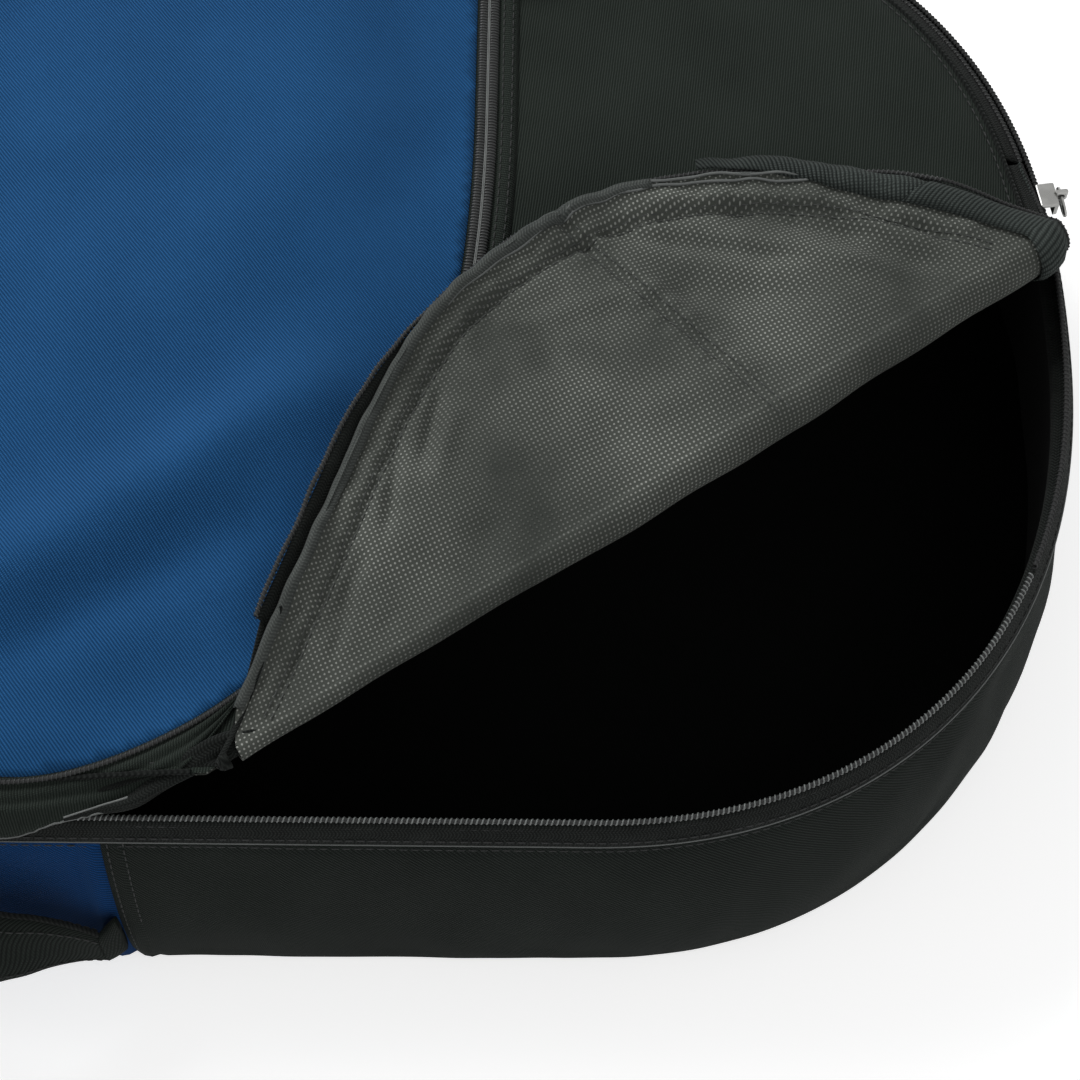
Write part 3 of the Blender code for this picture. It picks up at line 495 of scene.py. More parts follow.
RIBBON = ribbed("grey ribbon", (0.0500, 0.0560, 0.0530), (0.1300, 0.1400, 0.1330), 0.0013)
WEBBING = ribbed("black webbing", (0.0050, 0.0060, 0.0056), (0.0270, 0.0300, 0.0285), 0.0022, depth=0.0004)
COIL = plain("nylon coil", (0.0150, 0.0170, 0.0165), 0.45)
# Light grey copy of the nylon coil: painted glints of the open rim's coil
BRIGHT_COIL = plain("nylon coil of the open rim", (0.1300, 0.1400, 0.1360), 0.35)
CORE = plain("cord inside a zipper coil", (0.0040, 0.0045, 0.0045), 0.8)
THREAD = plain("black thread", (0.0095, 0.0108, 0.0104), 0.8, grain=0.00008)
LINING_THREAD = plain("charcoal thread", (0.0360, 0.0400, 0.0370), 0.7, grain=0.00008)
GREY_THREAD = plain("grey thread", (0.0900, 0.0970, 0.0940), 0.6, grain=0.00008)
CHROME = plain("chromed zinc", (0.3000, 0.3000, 0.2900), 0.30, metallic=1.0, grain=0.00002)
LACQUER = plain("black lacquered zinc", (0.0140, 0.0140, 0.0140), 0.4, metallic=0.6,
                wear_and_painted_light=(0.0600, 0.0580, 0.0550))
ACETAL = plain("black acetal", (0.0120, 0.0125, 0.0125), 0.42)


# Lines along cloth: stitches, piping, tapes and coils

def path_frames(points):
    """Lengths along a path and its unit directions."""
    points = np.asarray(points, float)
    return run_lengths(points), unit(np.gradient(points, axis=0))


def resample(points, spacing):
    length = run_lengths(points)
    count = max(2, int(round(length[-1] / spacing)) + 1)
    return at_marks(np.linspace(0, length[-1], count), length, points)


def smooth_curve(points, spacing):
    """A smooth line through a few chosen points."""
    points = np.asarray(points, float)
    ends = np.concatenate([[2 * points[0] - points[1]], points, [2 * points[-1] - points[-2]]])
    made = []
    for index in range(1, len(ends) - 2):
        before, first, second, after = ends[index - 1:index + 3]
        share = np.linspace(0, 1, 24, endpoint=False)[:, None]
        made.append(0.5 * (2 * first + (second - before) * share
                           + (2 * before - 5 * first + 4 * second - after) * share ** 2
                           + (3 * first - before - 3 * second + after) * share ** 3))
    made.append(points[-1:])
    return resample(np.concatenate(made), spacing)


def tube_rings(path, radius, sides, up=(0, 0, 1), flatten=1.0):
    """Points and uvs of a round tube along a path, flattened towards its up direction if asked."""
    path = pad_array(path)
    length, along = path_frames(path)
    side = unit(np.cross(along, up))
    lift = np.cross(side, along)
    angle = circle_angles(sides)
    radius = np.broadcast_to(np.asarray(radius, float), (len(path),))[:, None, None]
    ring = np.cos(angle)[:, None] * side[:, None] + np.sin(angle)[:, None] * lift[:, None] * flatten
    return path[:, None] + ring * radius, uv_grid(length, angle * float(radius.max()))


def tube(name, path, radius, sides, material, body):
    points, uvs = tube_rings(path, radius, sides)
    return grid_piece(name, points, uvs, material, body, close_columns=True)


def stitches(name, lines, material, body, radius=0.00032, rise=0.00015):
    """Rows of short thread stitches along lines that lie on the cloth."""
    all_points, all_faces, total = [], [], 0
    sides, rings = 5, np.array([[-0.5, 0.35], [-0.3, 1.0], [0.3, 1.0], [0.5, 0.35]])
    for line in lines:
        line = pad_array(line)
        run = run_lengths(line)
        centres = np.arange(STITCH_PITCH / 2, run[-1] - STITCH_PITCH / 2, STITCH_PITCH)
        if not len(centres):
            continue
        middle = at_marks(centres, run, line)
        along = unit(at_marks(centres + 0.0008, run, line) - middle)
        side = np.cross(along, (0, 0, 1.0))
        weak = np.linalg.norm(side, axis=1) < 0.1
        side[weak] = np.cross(along[weak], (0, 1.0, 0))
        side = unit(side)
        lift = np.cross(side, along)
        angle = circle_angles(sides)[:, None]
        circle = np.cos(angle) * side[:, None] + np.sin(angle) * lift[:, None]
        ahead = (rings[:, 0] * STITCH_LENGTH)[:, None, None]
        outward = (rings[:, 1] * radius)[:, None, None]
        spots = (middle[:, None, None] + along[:, None, None] * ahead + circle[:, None] * outward
                 + lift[:, None, None] * rise)
        count = len(centres)
        block = grid_faces(len(rings), sides, close_columns=True)
        faces = block + (np.arange(count) * len(rings) * sides)[:, None, None] + total
        all_points.append(spots.reshape(-1, 3))
        all_faces.append(faces.reshape(-1, 4))
        total += count * len(rings) * sides
    return mesh_piece(name, np.concatenate(all_points), np.concatenate(all_faces), None, material, body)


def coil(name, path, radius, wire, pitch, material, body, up=(0, 0, 1), flatten=1.0):
    """Zipper coil: a wire wound round a cord that follows a path."""
    path = resample(pad_array(path), pitch / 10)
    length, along = path_frames(path)
    side = unit(np.cross(along, up))
    lift = np.cross(side, along)
    angle = 2 * math.pi * length / pitch
    centre = (path + side * (np.cos(angle) * radius)[:, None]
              + lift * (np.sin(angle) * radius * flatten)[:, None])
    turns, turn_uvs = tube_rings(centre, wire, 4)
    cord, cord_uvs = tube_rings(path[::5], (radius - wire * 0.3), 8, up, flatten)
    faces = np.concatenate([grid_faces(*turns.shape[:2], close_columns=True),
                            grid_faces(*cord.shape[:2], close_columns=True) + turns.size // 3])
    points = np.concatenate([turns.reshape(-1, 3), cord.reshape(-1, 3)])
    uvs = np.concatenate([turn_uvs.reshape(-1, 2), cord_uvs.reshape(-1, 2)])
    obj = mesh_piece(name, points, faces, uvs, [material, CORE], body)
    is_cord = (np.arange(len(faces)) >= turns.size // 3 - 4).astype(np.int32)
    obj.data.polygons.foreach_set("material_index", is_cord)
    return obj


def strip(name, edges, material, body, thickness=0.0006):
    """Flat tape between two or more lines of the same count of points."""
    edges = np.stack([pad_array(edge) for edge in edges], axis=1)
    uvs = uv_grid(run_lengths(edges[:, 0]), run_lengths(edges[0]))
    return thicken(grid_piece(name, edges, uvs, material, body), thickness, 0.0)


# Cloth panels cut to a plan outline

def panel(name, outline, spacing, height, material, body, thickness=0.0, turned=None):
    """A sheet over a plan outline, laid at a height given by a function of plan points."""
    outline = resample(np.concatenate([outline, outline[:1]]), spacing)[:-1]
    low, high = outline.min(axis=0), outline.max(axis=0)
    xs = np.arange(low[0], high[0], spacing)
    ys = np.arange(low[1], high[1], spacing * 0.87)
    grid_x, grid_y = np.meshgrid(xs, ys)
    grid_x = grid_x + (np.arange(len(ys)) % 2)[:, None] * spacing / 2
    inner = np.stack([grid_x.ravel(), grid_y.ravel()], axis=1)
    inner = inner[inside_outline(inner, outline)]
    inner = inner[nearest_gap(inner, outline) > spacing * 0.55]
    count = len(outline)
    vertices = [Vector(point) for point in np.concatenate([outline, inner]).tolist()]
    edges = [(index, (index + 1) % count) for index in range(count)]
    found, _, faces, *_ = delaunay_2d_cdt(vertices, edges, [list(range(count))], 1, 1e-7)
    plan = np.array([tuple(vertex) for vertex in found])
    points = raised(plan, height(plan))
    if turned:
        points = turned(points)
    triangles = [face for face in faces if len(face) == 3]
    obj = mesh_piece(name, points, triangles, plan, material, body)
    if thickness:
        thicken(obj, thickness)
    return obj


def inside_outline(points, outline):
    inside = np.zeros(len(points), bool)
    following = np.roll(outline, -1, axis=0)
    for (x0, y0), (x1, y1) in zip(outline, following):
        crosses = (y0 > points[:, 1]) != (y1 > points[:, 1])
        if not crosses.any():
            continue
        edge_x = x0 + (points[:, 1] - y0) / (y1 - y0 + 1e-15) * (x1 - x0)
        inside ^= crosses & (points[:, 0] < edge_x)
    return inside


# Shape of the lid, of the fold and of the folded corner

# Within this distance of the fold the lid's border runs level, and its edge turns over
FOLD_CLEAR = 0.040
# Share of the pinch that the lid's face gives; its lining gives the rest
FACE_PINCH = 0.42


def smooth_step(value):
    value = np.clip(value, 0, 1)
    return value * value * (3 - 2 * value)


def fold_fade(plan, reach):
    """0 on the fold line, rising to 1 at a distance from it."""
    return smooth_step(np.abs(across_fold(plan)) / reach)


def fold_pinch(along):
    """How much thinner the folded padding is pressed, at places along the fold."""
    return np.interp(along, (-0.040, 0.0, 0.070, 0.130, 0.200), (0.0073, 0.0066, 0.0048, 0.0022, 0.0))


def border_drop(inset):
    """How far the lid's border slopes down at an inset from the rim."""
    share = np.clip((inset - LID_EDGE_INSET) / (LID_SHOULDER_INSET - LID_EDGE_INSET), 0, 1)
    return (LID_TOP - LID_EDGE_HEIGHT) * (1 - np.sin(share * math.pi / 2))


def lid_border(plan, inset):
    """Height of the lid's sloping border, which runs level where it meets the fold."""
    fade = fold_fade(plan, FOLD_CLEAR)
    pinch = fold_pinch(along_fold(plan))
    return LID_TOP - border_drop(inset) * fade + FACE_PINCH * pinch * (1 - fade)


def lining_depth(plan):
    """Thickness from the lid's face to its lining, less where the fold is pressed tight."""
    pinch = fold_pinch(along_fold(plan))
    return PAD_THICK - (1 - FACE_PINCH) * pinch * (1 - fold_fade(plan, FOLD_CLEAR))


def lid_height(plan):
    """The lid's outer face, sagging a little between the guitar's edges."""
    inset = rim_inset(plan)
    soft = smooth_step((inset - 0.018) / 0.05) * fold_fade(plan, 0.03)
    sag = plan_ripple(plan, 2, 0.22) * 0.0010 + plan_ripple(plan, 5, 0.07) * 0.0003
    return lid_border(plan, inset) + soft * (sag - 0.0005)


CORNER_RUNS = np.linspace(TAIL_FOLD_RUN, NEAR_FOLD_RUN, 400)
CORNER_ALONG = along_fold(rim_points(CORNER_RUNS))
CORNER_REACH = across_fold(rim_points(CORNER_RUNS))
CORNER_ORDER = np.argsort(CORNER_ALONG)
# How far the folded corner's free edge has settled: place along the fold, then x and y
FLAP_SETTLED = np.array((
    (-0.020, 0.0073, -0.0021),
    (0.090, 0.0091, -0.0039),
    (0.150, 0.0060, -0.0056),
    (0.200, 0.0025, -0.0048),
    (0.280, 0.0000, -0.0032),
    (0.360, -0.0005, -0.0030),
))


def fold_over(points):
    """Turn points of the flat lid over the fold, with the free edge settled towards it."""
    points = np.asarray(points, float)
    along = along_fold(points[..., :2])
    out = across_fold(points[..., :2])
    plan = fold_point(along[..., None]) - out[..., None] * FOLD_ACROSS
    reach = np.interp(along, CORNER_ALONG[CORNER_ORDER], CORNER_REACH[CORNER_ORDER])
    share = np.clip(out / np.maximum(reach, 0.02), 0, 1.05) ** 1.3
    for axis in (0, 1):
        plan[..., axis] += np.interp(along, FLAP_SETTLED[:, 0], FLAP_SETTLED[:, axis + 1]) * share
    height = 2 * FOLD_HEIGHT - points[..., 2] + out * FLAP_RISE
    return np.concatenate([plan, height[..., None]], axis=-1)


def folded_plan(plan):
    """Where plan points of the flat lid lie once folded over."""
    return fold_over(pad_array(plan))[:, :2]


def unfolded(place):
    """Plan point of the flat lid that lies at a plan point once folded over."""
    place = np.asarray(place, float)
    return place - 2 * across_fold(place)[..., None] * FOLD_ACROSS


def fold_crossings(inset):
    """Places along the fold line where it crosses an inset from the rim."""
    marks = np.arange(-0.06, 0.38, 0.0005)
    within = rim_inset(fold_point(marks[:, None])) > inset
    return marks[within][0], marks[within][-1]


# The corner's near end is cut back by this much, where its edge is rolled and twisted
NEAR_CUT = 0.012


def half_outline(inset, corner):
    """Outline of the lid, or of its folded corner, at an inset from the rim."""
    near, tail = fold_crossings(inset)
    if corner:
        near += NEAR_CUT
        runs = runs_between(TAIL_FOLD_RUN - 0.03, NEAR_FOLD_RUN + 0.03, 0.003)
        line = inset_plan(runs, inset)
        line = line[across_fold(line) > np.where(runs > 0, NEAR_CUT, 0.001)]
        return np.concatenate([[fold_point(tail)], line, [fold_point(near)]])
    runs = runs_between(NEAR_FOLD_RUN - 0.03, 2 * HALF_RUN + TAIL_FOLD_RUN + 0.03, 0.004)
    line = inset_plan(runs, inset)
    line = line[across_fold(line) < -0.001]
    return np.concatenate([[fold_point(near)], line, [fold_point(tail)]])


def line_gap(plan, start, end):
    """Distance of plan points from a line between two points, and how far along it they are."""
    start, end = np.asarray(start, float), np.asarray(end, float)
    whole = end - start
    share = ((plan - start) @ whole) / (whole @ whole)
    near = start + np.clip(share, 0, 1)[:, None] * whole
    return np.linalg.norm(plan - near, axis=1), share


# Creases of the corner's lining: two plan points as it lies folded, half width and height
CREASES = (
    ((-0.196, 0.018), (-0.080, 0.004), 0.0040, -0.0034),
    ((-0.185, 0.026), (-0.110, 0.034), 0.0034, 0.0024),
    ((-0.150, 0.030), (-0.060, 0.016), 0.0042, -0.0036),
    ((-0.120, 0.042), (-0.040, 0.008), 0.0038, 0.0028),
    ((-0.100, 0.020), (-0.030, -0.004), 0.0048, -0.0034),
    ((-0.090, 0.034), (-0.045, 0.018), 0.0026, -0.0024),
    ((-0.176, 0.008), (-0.140, -0.030), 0.0055, 0.0026),
    ((-0.170, -0.006), (-0.090, -0.010), 0.0070, -0.0026),
    ((-0.150, 0.016), (-0.056, 0.002), 0.0050, 0.0026),
    ((-0.205, 0.006), (-0.176, 0.010), 0.0030, -0.0026),
    ((-0.225, -0.030), (-0.150, -0.004), 0.0050, 0.0018),
    ((-0.215, -0.010), (-0.196, -0.050), 0.0060, -0.0020),
    ((-0.262, -0.020), (-0.236, -0.012), 0.0040, -0.0020),
    ((-0.286, -0.120), (-0.262, -0.062), 0.0030, -0.0022),
    ((-0.296, -0.150), (-0.276, -0.100), 0.0026, 0.0018),
    ((-0.284, -0.160), (-0.264, -0.118), 0.0028, -0.0026),
    ((-0.240, -0.046), (-0.248, -0.090), 0.0024, -0.0030),
    ((-0.255, -0.074), (-0.260, -0.122), 0.0024, -0.0030),
    ((-0.234, -0.056), (-0.243, -0.100), 0.0040, 0.0020),
    ((-0.270, -0.130), (-0.278, -0.170), 0.0024, -0.0026),
    ((-0.252, -0.140), (-0.272, -0.176), 0.0030, -0.0022),
)
CROSS_SEAM = ((-0.1974, 0.0198), (-0.1092, -0.0634))


def lining_relief(plan):
    """Seams, puckers and creases of the corner's lining, positive towards the viewer."""
    inset = rim_inset(plan)
    out = across_fold(plan)
    folded = folded_plan(plan)
    gap, share = line_gap(folded, *CROSS_SEAM)
    relief = -0.0020 * ridge(inset - 0.024, 0.0018)
    relief += 0.0010 * ridge(inset - 0.020, 0.0025)
    relief += 0.0006 * plan_ripple(plan, 2, 0.008) * ridge(inset - 0.022, 0.006)
    pucker = ripple(share * 0.12, 0.0, 3, 0.011)
    relief -= 0.0020 * ridge(gap, 0.0019)
    relief += (0.0009 + 0.0010 * pucker) * ridge(gap - 0.0048, 0.0028)
    edge = np.exp(-np.clip(inset - 0.010, 0, 1) / 0.022)
    relief += edge * plan_ripple(plan, 4, 0.020) * 0.0012
    relief += plan_ripple(plan, 7, 0.085) * 0.0016
    relief += plan_ripple(plan, 9, 0.030) * 0.0005
    for start, end, width, height in CREASES:
        gap, share = line_gap(folded, start, end)
        taper = smooth_step(share * 3) * smooth_step((1 - share) * 3)
        relief += height * taper * ridge(gap, width)
    return relief * smooth_step(out / 0.02)


def flap_lining_height(plan):
    return lid_border(plan, rim_inset(plan)) - lining_depth(plan) - lining_relief(plan)


# Side wall

def wall_out(height, runs=1.0):
    """How far the wall stands out beyond the rim, less round the tail."""
    bulge = WALL_BULGE * (1 - 0.45 * ridge(runs - 0.07, 0.16))
    return SEAM_OUT + bulge * np.sin(WALL_BULGE_TURN * (1 - height / WALL_TOP))


def section_uvs(runs, points):
    return uv_grid(runs, run_lengths(points[len(points) // 2]))


def band(name, runs, outs, heights, material, body, thickness=0.0, turned=None):
    """Strip along the rim; its section may change from run to run."""
    points = beside_rim(runs[:, None], outs, heights)
    uvs = section_uvs(runs, points)
    if turned:
        points = turned(points)
    obj = grid_piece(name, points, uvs, material, body)
    if thickness:
        thicken(obj, thickness, 0.0)
    return obj


# Lowest rows of the wall's cloth, which turns under to the back panel
FOOT_OUTS = np.array((-0.0002, -0.0012, -0.0034, -0.0070, -0.0112))
FOOT_HEIGHTS = np.array((0.0038, 0.0017, 0.0006, 0.0006, 0.0018))


def wall_relief(runs, heights, start, end, seed):
    """How far the wall's cloth stands out or is drawn in by its creases and seams."""
    fade = np.clip((WALL_TOP - heights) / 0.022, 0, 1) * np.clip(heights / 0.015, 0, 1)
    crease = ripple(runs, heights * 0.5, seed, 0.085) * 0.0015
    crease = crease + ripple(runs, heights * 0.3, seed + 3, 0.030) * 0.0004
    gap = np.minimum(runs - start, end - runs)
    seam = 0.0018 * ridge(gap, 0.0022) - 0.0007 * ridge(gap - 0.0050, 0.0022)
    seam = seam + 0.0006 * ridge(gap - 0.0085, 0.0010)
    stitched = 0.0006 * ridge(WALL_TOP - heights - 0.0035, 0.0012)
    return crease * fade - seam - stitched


def wall_panel(name, start, end, material, seed, nodes):
    runs = runs_between(start, end, RUN_STEP)
    rows = np.linspace(WALL_TOP, 0.0060, 34)
    heights = np.concatenate([[WALL_TOP + 0.0003], rows, FOOT_HEIGHTS])
    across = runs[:, None]
    outs = np.concatenate([np.full((len(runs), 1), SEAM_OUT - 0.0012), wall_out(rows, across),
                           wall_out(0.006, across) + FOOT_OUTS], axis=1)
    outs = outs + wall_relief(across, heights[None, :], start, end, seed)
    obj = band(name, runs, outs, heights, material, "bag")
    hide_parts(*nodes)
    return obj


def wall_line(runs, height, start, end, seed):
    outs = wall_out(height, runs) + wall_relief(runs, height, start, end, seed) + 0.0001
    return beside_rim(runs, outs, height)


def build_wall():
    start, end = near_run(ACCENT_START), near_run(ACCENT_END)
    head_end = 2 * HALF_RUN - end
    panels = (
        ("wall_cloth_tail", -start, start, BLACK_CLOTH, "black_polyester", 3,
         ("gusset_shell_tail", "gusset_foam_near", "gusset_foam_far")),
        ("wall_cloth_blue_near", start, end, BLUE_WALL, "blue_polyester", 5, ("gusset_accent_near",)),
        ("wall_cloth_blue_far", -end, -start, BLUE_WALL, "blue_polyester", 7, ("gusset_accent_far",)),
        ("wall_cloth_head", end, head_end, BLACK_CLOTH, "black_polyester", 9, ("gusset_shell_head",)),
    )
    lines = []
    for name, first, last, material, slot, seed, nodes in panels:
        wall_panel(name, first, last, material, seed, nodes)
        heights = np.linspace(WALL_TOP - 0.001, 0.006, 40)
        if material is BLACK_CLOTH:
            for run in (first + 0.0028, first + 0.0085, last - 0.0028, last - 0.0085):
                lines.append(wall_line(np.full(len(heights), run), heights, first, last, seed))
        runs = runs_between(first + 0.004, last - 0.004)
        lines.append(wall_line(runs, WALL_TOP - 0.0035, first, last, seed))
    stitches("wall_stitches", lines, THREAD, "bag")


def build_wall_lining():
    runs = np.linspace(-HALF_RUN, HALF_RUN, 760)[:-1]
    heights = np.linspace(WALL_TOP, 0.0120, 26)
    outs = wall_out(heights[None, :], runs[:, None]) - PAD_THICK
    outs = outs + ripple(runs[:, None], heights[None, :] * 0.6, 6, 0.07) * 0.0006
    points = beside_rim(runs[:, None], outs, heights)
    obj = grid_piece("wall_lining", points, section_uvs(runs, points), BLACK_LINING, "bag",
                     close_rows=True)
    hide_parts("gusset_lining_near", "gusset_lining_far")
    inner = -PAD_THICK
    outs = SEAM_OUT + np.array((-0.0014, -0.0032, inner - 0.0006, inner - 0.0009, inner - 0.0004))
    heights = WALL_TOP + np.array((0.0005, 0.0013, 0.0003, -0.0040, -0.0090))
    points = beside_rim(runs[:, None], outs, heights)
    grid_piece("wall_seam_binding", points, section_uvs(runs, points), TAPE, "bag",
               close_rows=True)


# Height at which the back's cloth meets the wall's
BACK_EDGE_HEIGHT = 0.0018


def build_back():
    """Back panel: cloth outside, lining inside."""
    runs = np.linspace(-HALF_RUN, HALF_RUN, 700)[:-1]

    def outside(plan):
        inward = smooth_step((rim_inset(plan) + 0.004) / 0.045)
        return BACK_EDGE_HEIGHT + (BACK_HEIGHT - BACK_EDGE_HEIGHT) * inward

    def inside(plan):
        return np.full(len(plan), BACK_HEIGHT + PAD_THICK) + plan_ripple(plan, 8, 0.1) * 0.0005

    outline = inset_plan(runs, -0.0042)
    obj = panel("back_cloth", outline, 0.009, outside, BLACK_CLOTH, "bag")
    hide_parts("back_shell", "back_foam")
    outline = inset_plan(runs, -0.0085)
    obj = panel("back_lining_cloth", outline, 0.011, inside, BLACK_LINING, "bag")
    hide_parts("back_lining")


# Main zipper

# Run from which the wall's coil is made light grey round the near side, as painted glints
OPEN_COIL_START = 0.115
# The wall's tape, from its seam up to its coil
TAPE_SEAM_OUT = 0.0058
TAPE_SEAM_HEIGHT = 0.1070
TAPE_TOP_HEIGHT = 0.1183


def build_gusset_zip():
    runs = runs_between(-ZIP_END_RUN, ZIP_END_RUN, RUN_STEP)
    share = np.linspace(0, 1, 6)
    outs = TAPE_SEAM_OUT + (COIL_OUT - TAPE_SEAM_OUT) * share + 0.0004 * np.sin(math.pi * share)
    heights = TAPE_SEAM_HEIGHT + (TAPE_TOP_HEIGHT - TAPE_SEAM_HEIGHT) * share
    wave = ripple(runs[:, None], heights[None, :], 2, 0.05) * 0.00025 * np.sin(math.pi * share)[None, :]
    obj = band("zip_tape_wall", runs, outs + wave, heights, TAPE, "bag", TAPE_THICK)
    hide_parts("gusset_zip_tape")
    path = beside_rim(runs, COIL_OUT, RIM_HEIGHT)
    lit = runs > OPEN_COIL_START
    # Beyond that run the coil is light grey: painted glints
    obj = coil("zip_coil_wall", path[lit], 0.00092, 0.00034, COIL_PITCH, BRIGHT_COIL, "bag")
    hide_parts("gusset_zip_coil")
    coil("zip_coil_wall_far", path[~lit], 0.00092, 0.00034, COIL_PITCH, CORE, "bag")
    tube("zip_tape_seam", beside_rim(runs, 0.00625, 0.1073), 0.00034, 6, GREY_THREAD, "bag")
    stitches("zip_tape_stitches", [beside_rim(runs, 0.0030, 0.1148), beside_rim(runs, 0.0056, 0.1094)],
             THREAD, "bag", rise=0.0004)
    runs = head_end_runs()
    obj = band("head_binding_wall", runs, outs, heights, TAPE, "bag", BINDING_THICK)
    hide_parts("head_seam_binding")


def head_end_runs():
    """Runs round the head end, where both halves of the zipper are bound together."""
    return runs_between(ZIP_END_RUN + 0.0005, 2 * HALF_RUN - ZIP_END_RUN - 0.0005, RUN_STEP)


def clear_run(side, out, away):
    """Run at which a line beside the rim is a signed distance from the fold plane."""
    runs = (NEAR_FOLD_RUN if side > 0 else TAIL_FOLD_RUN) + side * np.linspace(-0.075, 0.075, 301)
    across = across_fold(inset_plan(runs, -out))
    return np.interp(-np.asarray(away), -across, runs)


def turned_line(side, out, height, tight, draw=0.0):
    """A line beside the rim that turns over with the fold, first on the lid and last on the corner.

    Draw moves the line inward where it turns.
    """
    reach = FOLD_HEIGHT - height
    away = np.linspace(-FOLD_CLEAR, 0, 14)
    close = smooth_step(np.abs(away) / FOLD_CLEAR)
    depth = tight + (reach - tight) * close
    drawn = out - draw * (1 - close)
    lid = beside_rim(clear_run(side, out - draw, away), drawn, FOLD_HEIGHT - depth)
    corner = fold_over(beside_rim(clear_run(side, out - draw, -away[::-1]), drawn[::-1],
                                  FOLD_HEIGHT - depth[::-1]))
    angles = np.linspace(-math.pi / 2, math.pi / 2, 17)[1:-1]
    base = lid[-1] * (1, 1, 0)
    across = np.append(FOLD_ACROSS, 0)
    arc = [base + across * tight * math.cos(angle) + (0, 0, FOLD_HEIGHT + tight * math.sin(angle))
           for angle in angles]
    return np.concatenate([lid, arc, corner])


def pressed(obj, height):
    """Give a piece that goes round the fold a mesh of its own."""
    anchor = tuple((np.append(fold_point(0.16), height) + TO_FRAME).tolist())
    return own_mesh(obj)


# Section of the tape on the lid's side: outward, height, and radius where it turns over the fold
LID_TAPE_OUTS = np.array((-0.0026, -0.0046, -0.0070, -0.0094))
LID_TAPE_HEIGHTS = np.array((0.1199, 0.1212, 0.1230, 0.1248))
LID_TAPE_TIGHT = np.array((0.0072, 0.0066, 0.0058, 0.0051))
# Section of the binding that closes the lid's edge: outward, and down from the lid's face
EDGE_OUTS = np.array((-0.0012, 0.0006, 0.0010, 0.0004, -0.0014))
EDGE_DROPS = np.array((-0.0003, 0.0008, PAD_THICK / 2, PAD_THICK - 0.0008, PAD_THICK + 0.0004))


def build_lid_zip():
    near_clear, tail_clear = float(clear_run(1, 0, -FOLD_CLEAR)), float(clear_run(-1, 0, -FOLD_CLEAR))
    for title, start, end in (("near", near_clear, ZIP_END_RUN), ("far", -ZIP_END_RUN, tail_clear)):
        runs = runs_between(start, end, RUN_STEP)
        obj = band("zip_tape_lid_" + title, runs, LID_TAPE_OUTS, LID_TAPE_HEIGHTS, TAPE, "lid",
                   TAPE_THICK)
        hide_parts(f"lid_zip_tape_{title}")
        obj = coil("zip_coil_lid_" + title, beside_rim(runs, -COIL_OUT, RIM_HEIGHT), 0.00100, 0.00036,
                   COIL_PITCH, COIL, "lid")
        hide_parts(f"lid_zip_coil_{title}")
    runs = runs_between(float(clear_run(-1, 0, FOLD_CLEAR)), float(clear_run(1, 0, FOLD_CLEAR)), RUN_STEP)
    tucked = smooth_step((runs - 0.020) / 0.060) * smooth_step((0.330 - runs) / 0.090)
    outs = LID_TAPE_OUTS - 0.0062 * tucked[:, None]
    heights = LID_TAPE_HEIGHTS + 0.0026 * tucked[:, None]
    obj = band("zip_tape_corner", runs, outs, heights, TAPE, "corner", TAPE_THICK,
               turned=fold_over)
    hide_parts("flap_zip_tape")
    wave = ripple(runs, 0.0, 4, 0.030)
    outs = -COIL_OUT + wave * 0.0004 - 0.0067 * tucked
    path = fold_over(beside_rim(runs, outs, RIM_HEIGHT - wave * 0.0005 + 0.0022 * tucked))
    obj = coil("zip_coil_corner", path, 0.00090, 0.00034, COIL_PITCH, COIL, "corner")
    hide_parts("flap_zip_coil")
    for title, side, tightness, draw in (("near", 1, 0.22, 0.010), ("tail", -1, 1.0, 0.0)):
        lines = [turned_line(side, out, height, tight * tightness, draw)
                 for out, height, tight in zip(LID_TAPE_OUTS, LID_TAPE_HEIGHTS, LID_TAPE_TIGHT)]
        pressed(strip(f"zip_tape_turn_{title}", lines, TAPE, "lid", TAPE_THICK), 0.1222)
        if title == "tail":
            path = turned_line(side, -COIL_OUT, RIM_HEIGHT, 0.0080)
            up = (-FOLD_ALONG[0], -FOLD_ALONG[1], 0.35)
            pressed(coil("zip_coil_turn_tail", path, 0.00075, 0.00028, COIL_PITCH, CORE, "lid",
                         up=up), 0.1210)
        pinch = float(fold_pinch(-0.030 if side > 0 else 0.300))
        lines = []
        for out, drop in zip(EDGE_OUTS, EDGE_DROPS):
            share = np.clip(drop / PAD_THICK, 0, 1)
            tight = ROLL_RADIUS + drop - (FACE_PINCH + (1 - FACE_PINCH) * share) * pinch
            lines.append(turned_line(side, out - LID_EDGE_INSET, LID_EDGE_HEIGHT - drop, tight, draw * 0.4))
        pressed(strip(f"edge_turn_{title}", lines, TAPE, "lid", 0.0006), 0.1240)
    runs = head_end_runs()
    outs = np.concatenate([[-0.0012], LID_TAPE_OUTS])
    heights = np.concatenate([[0.1192], LID_TAPE_HEIGHTS])
    obj = band("head_binding_lid", runs, outs, heights, TAPE, "lid", BINDING_THICK)
    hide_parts("lid_head_binding")


# Lid

def edge_band(name, runs, material, body, keep, turned=None):
    """Binding that closes the lid's edge between its cloth and its lining."""
    runs = runs[keep(across_fold(inset_plan(runs, LID_EDGE_INSET)))]
    plan = inset_plan(runs, LID_EDGE_INSET)
    heights = lid_border(plan, LID_EDGE_INSET)[:, None] - EDGE_DROPS
    outs = np.broadcast_to(EDGE_OUTS - LID_EDGE_INSET, heights.shape)
    return band(name, runs, outs, heights, material, body, turned=turned)


def lid_line(runs, inset, rise):
    plan = inset_plan(runs, inset)
    return raised(plan, lid_border(plan, inset) + rise)


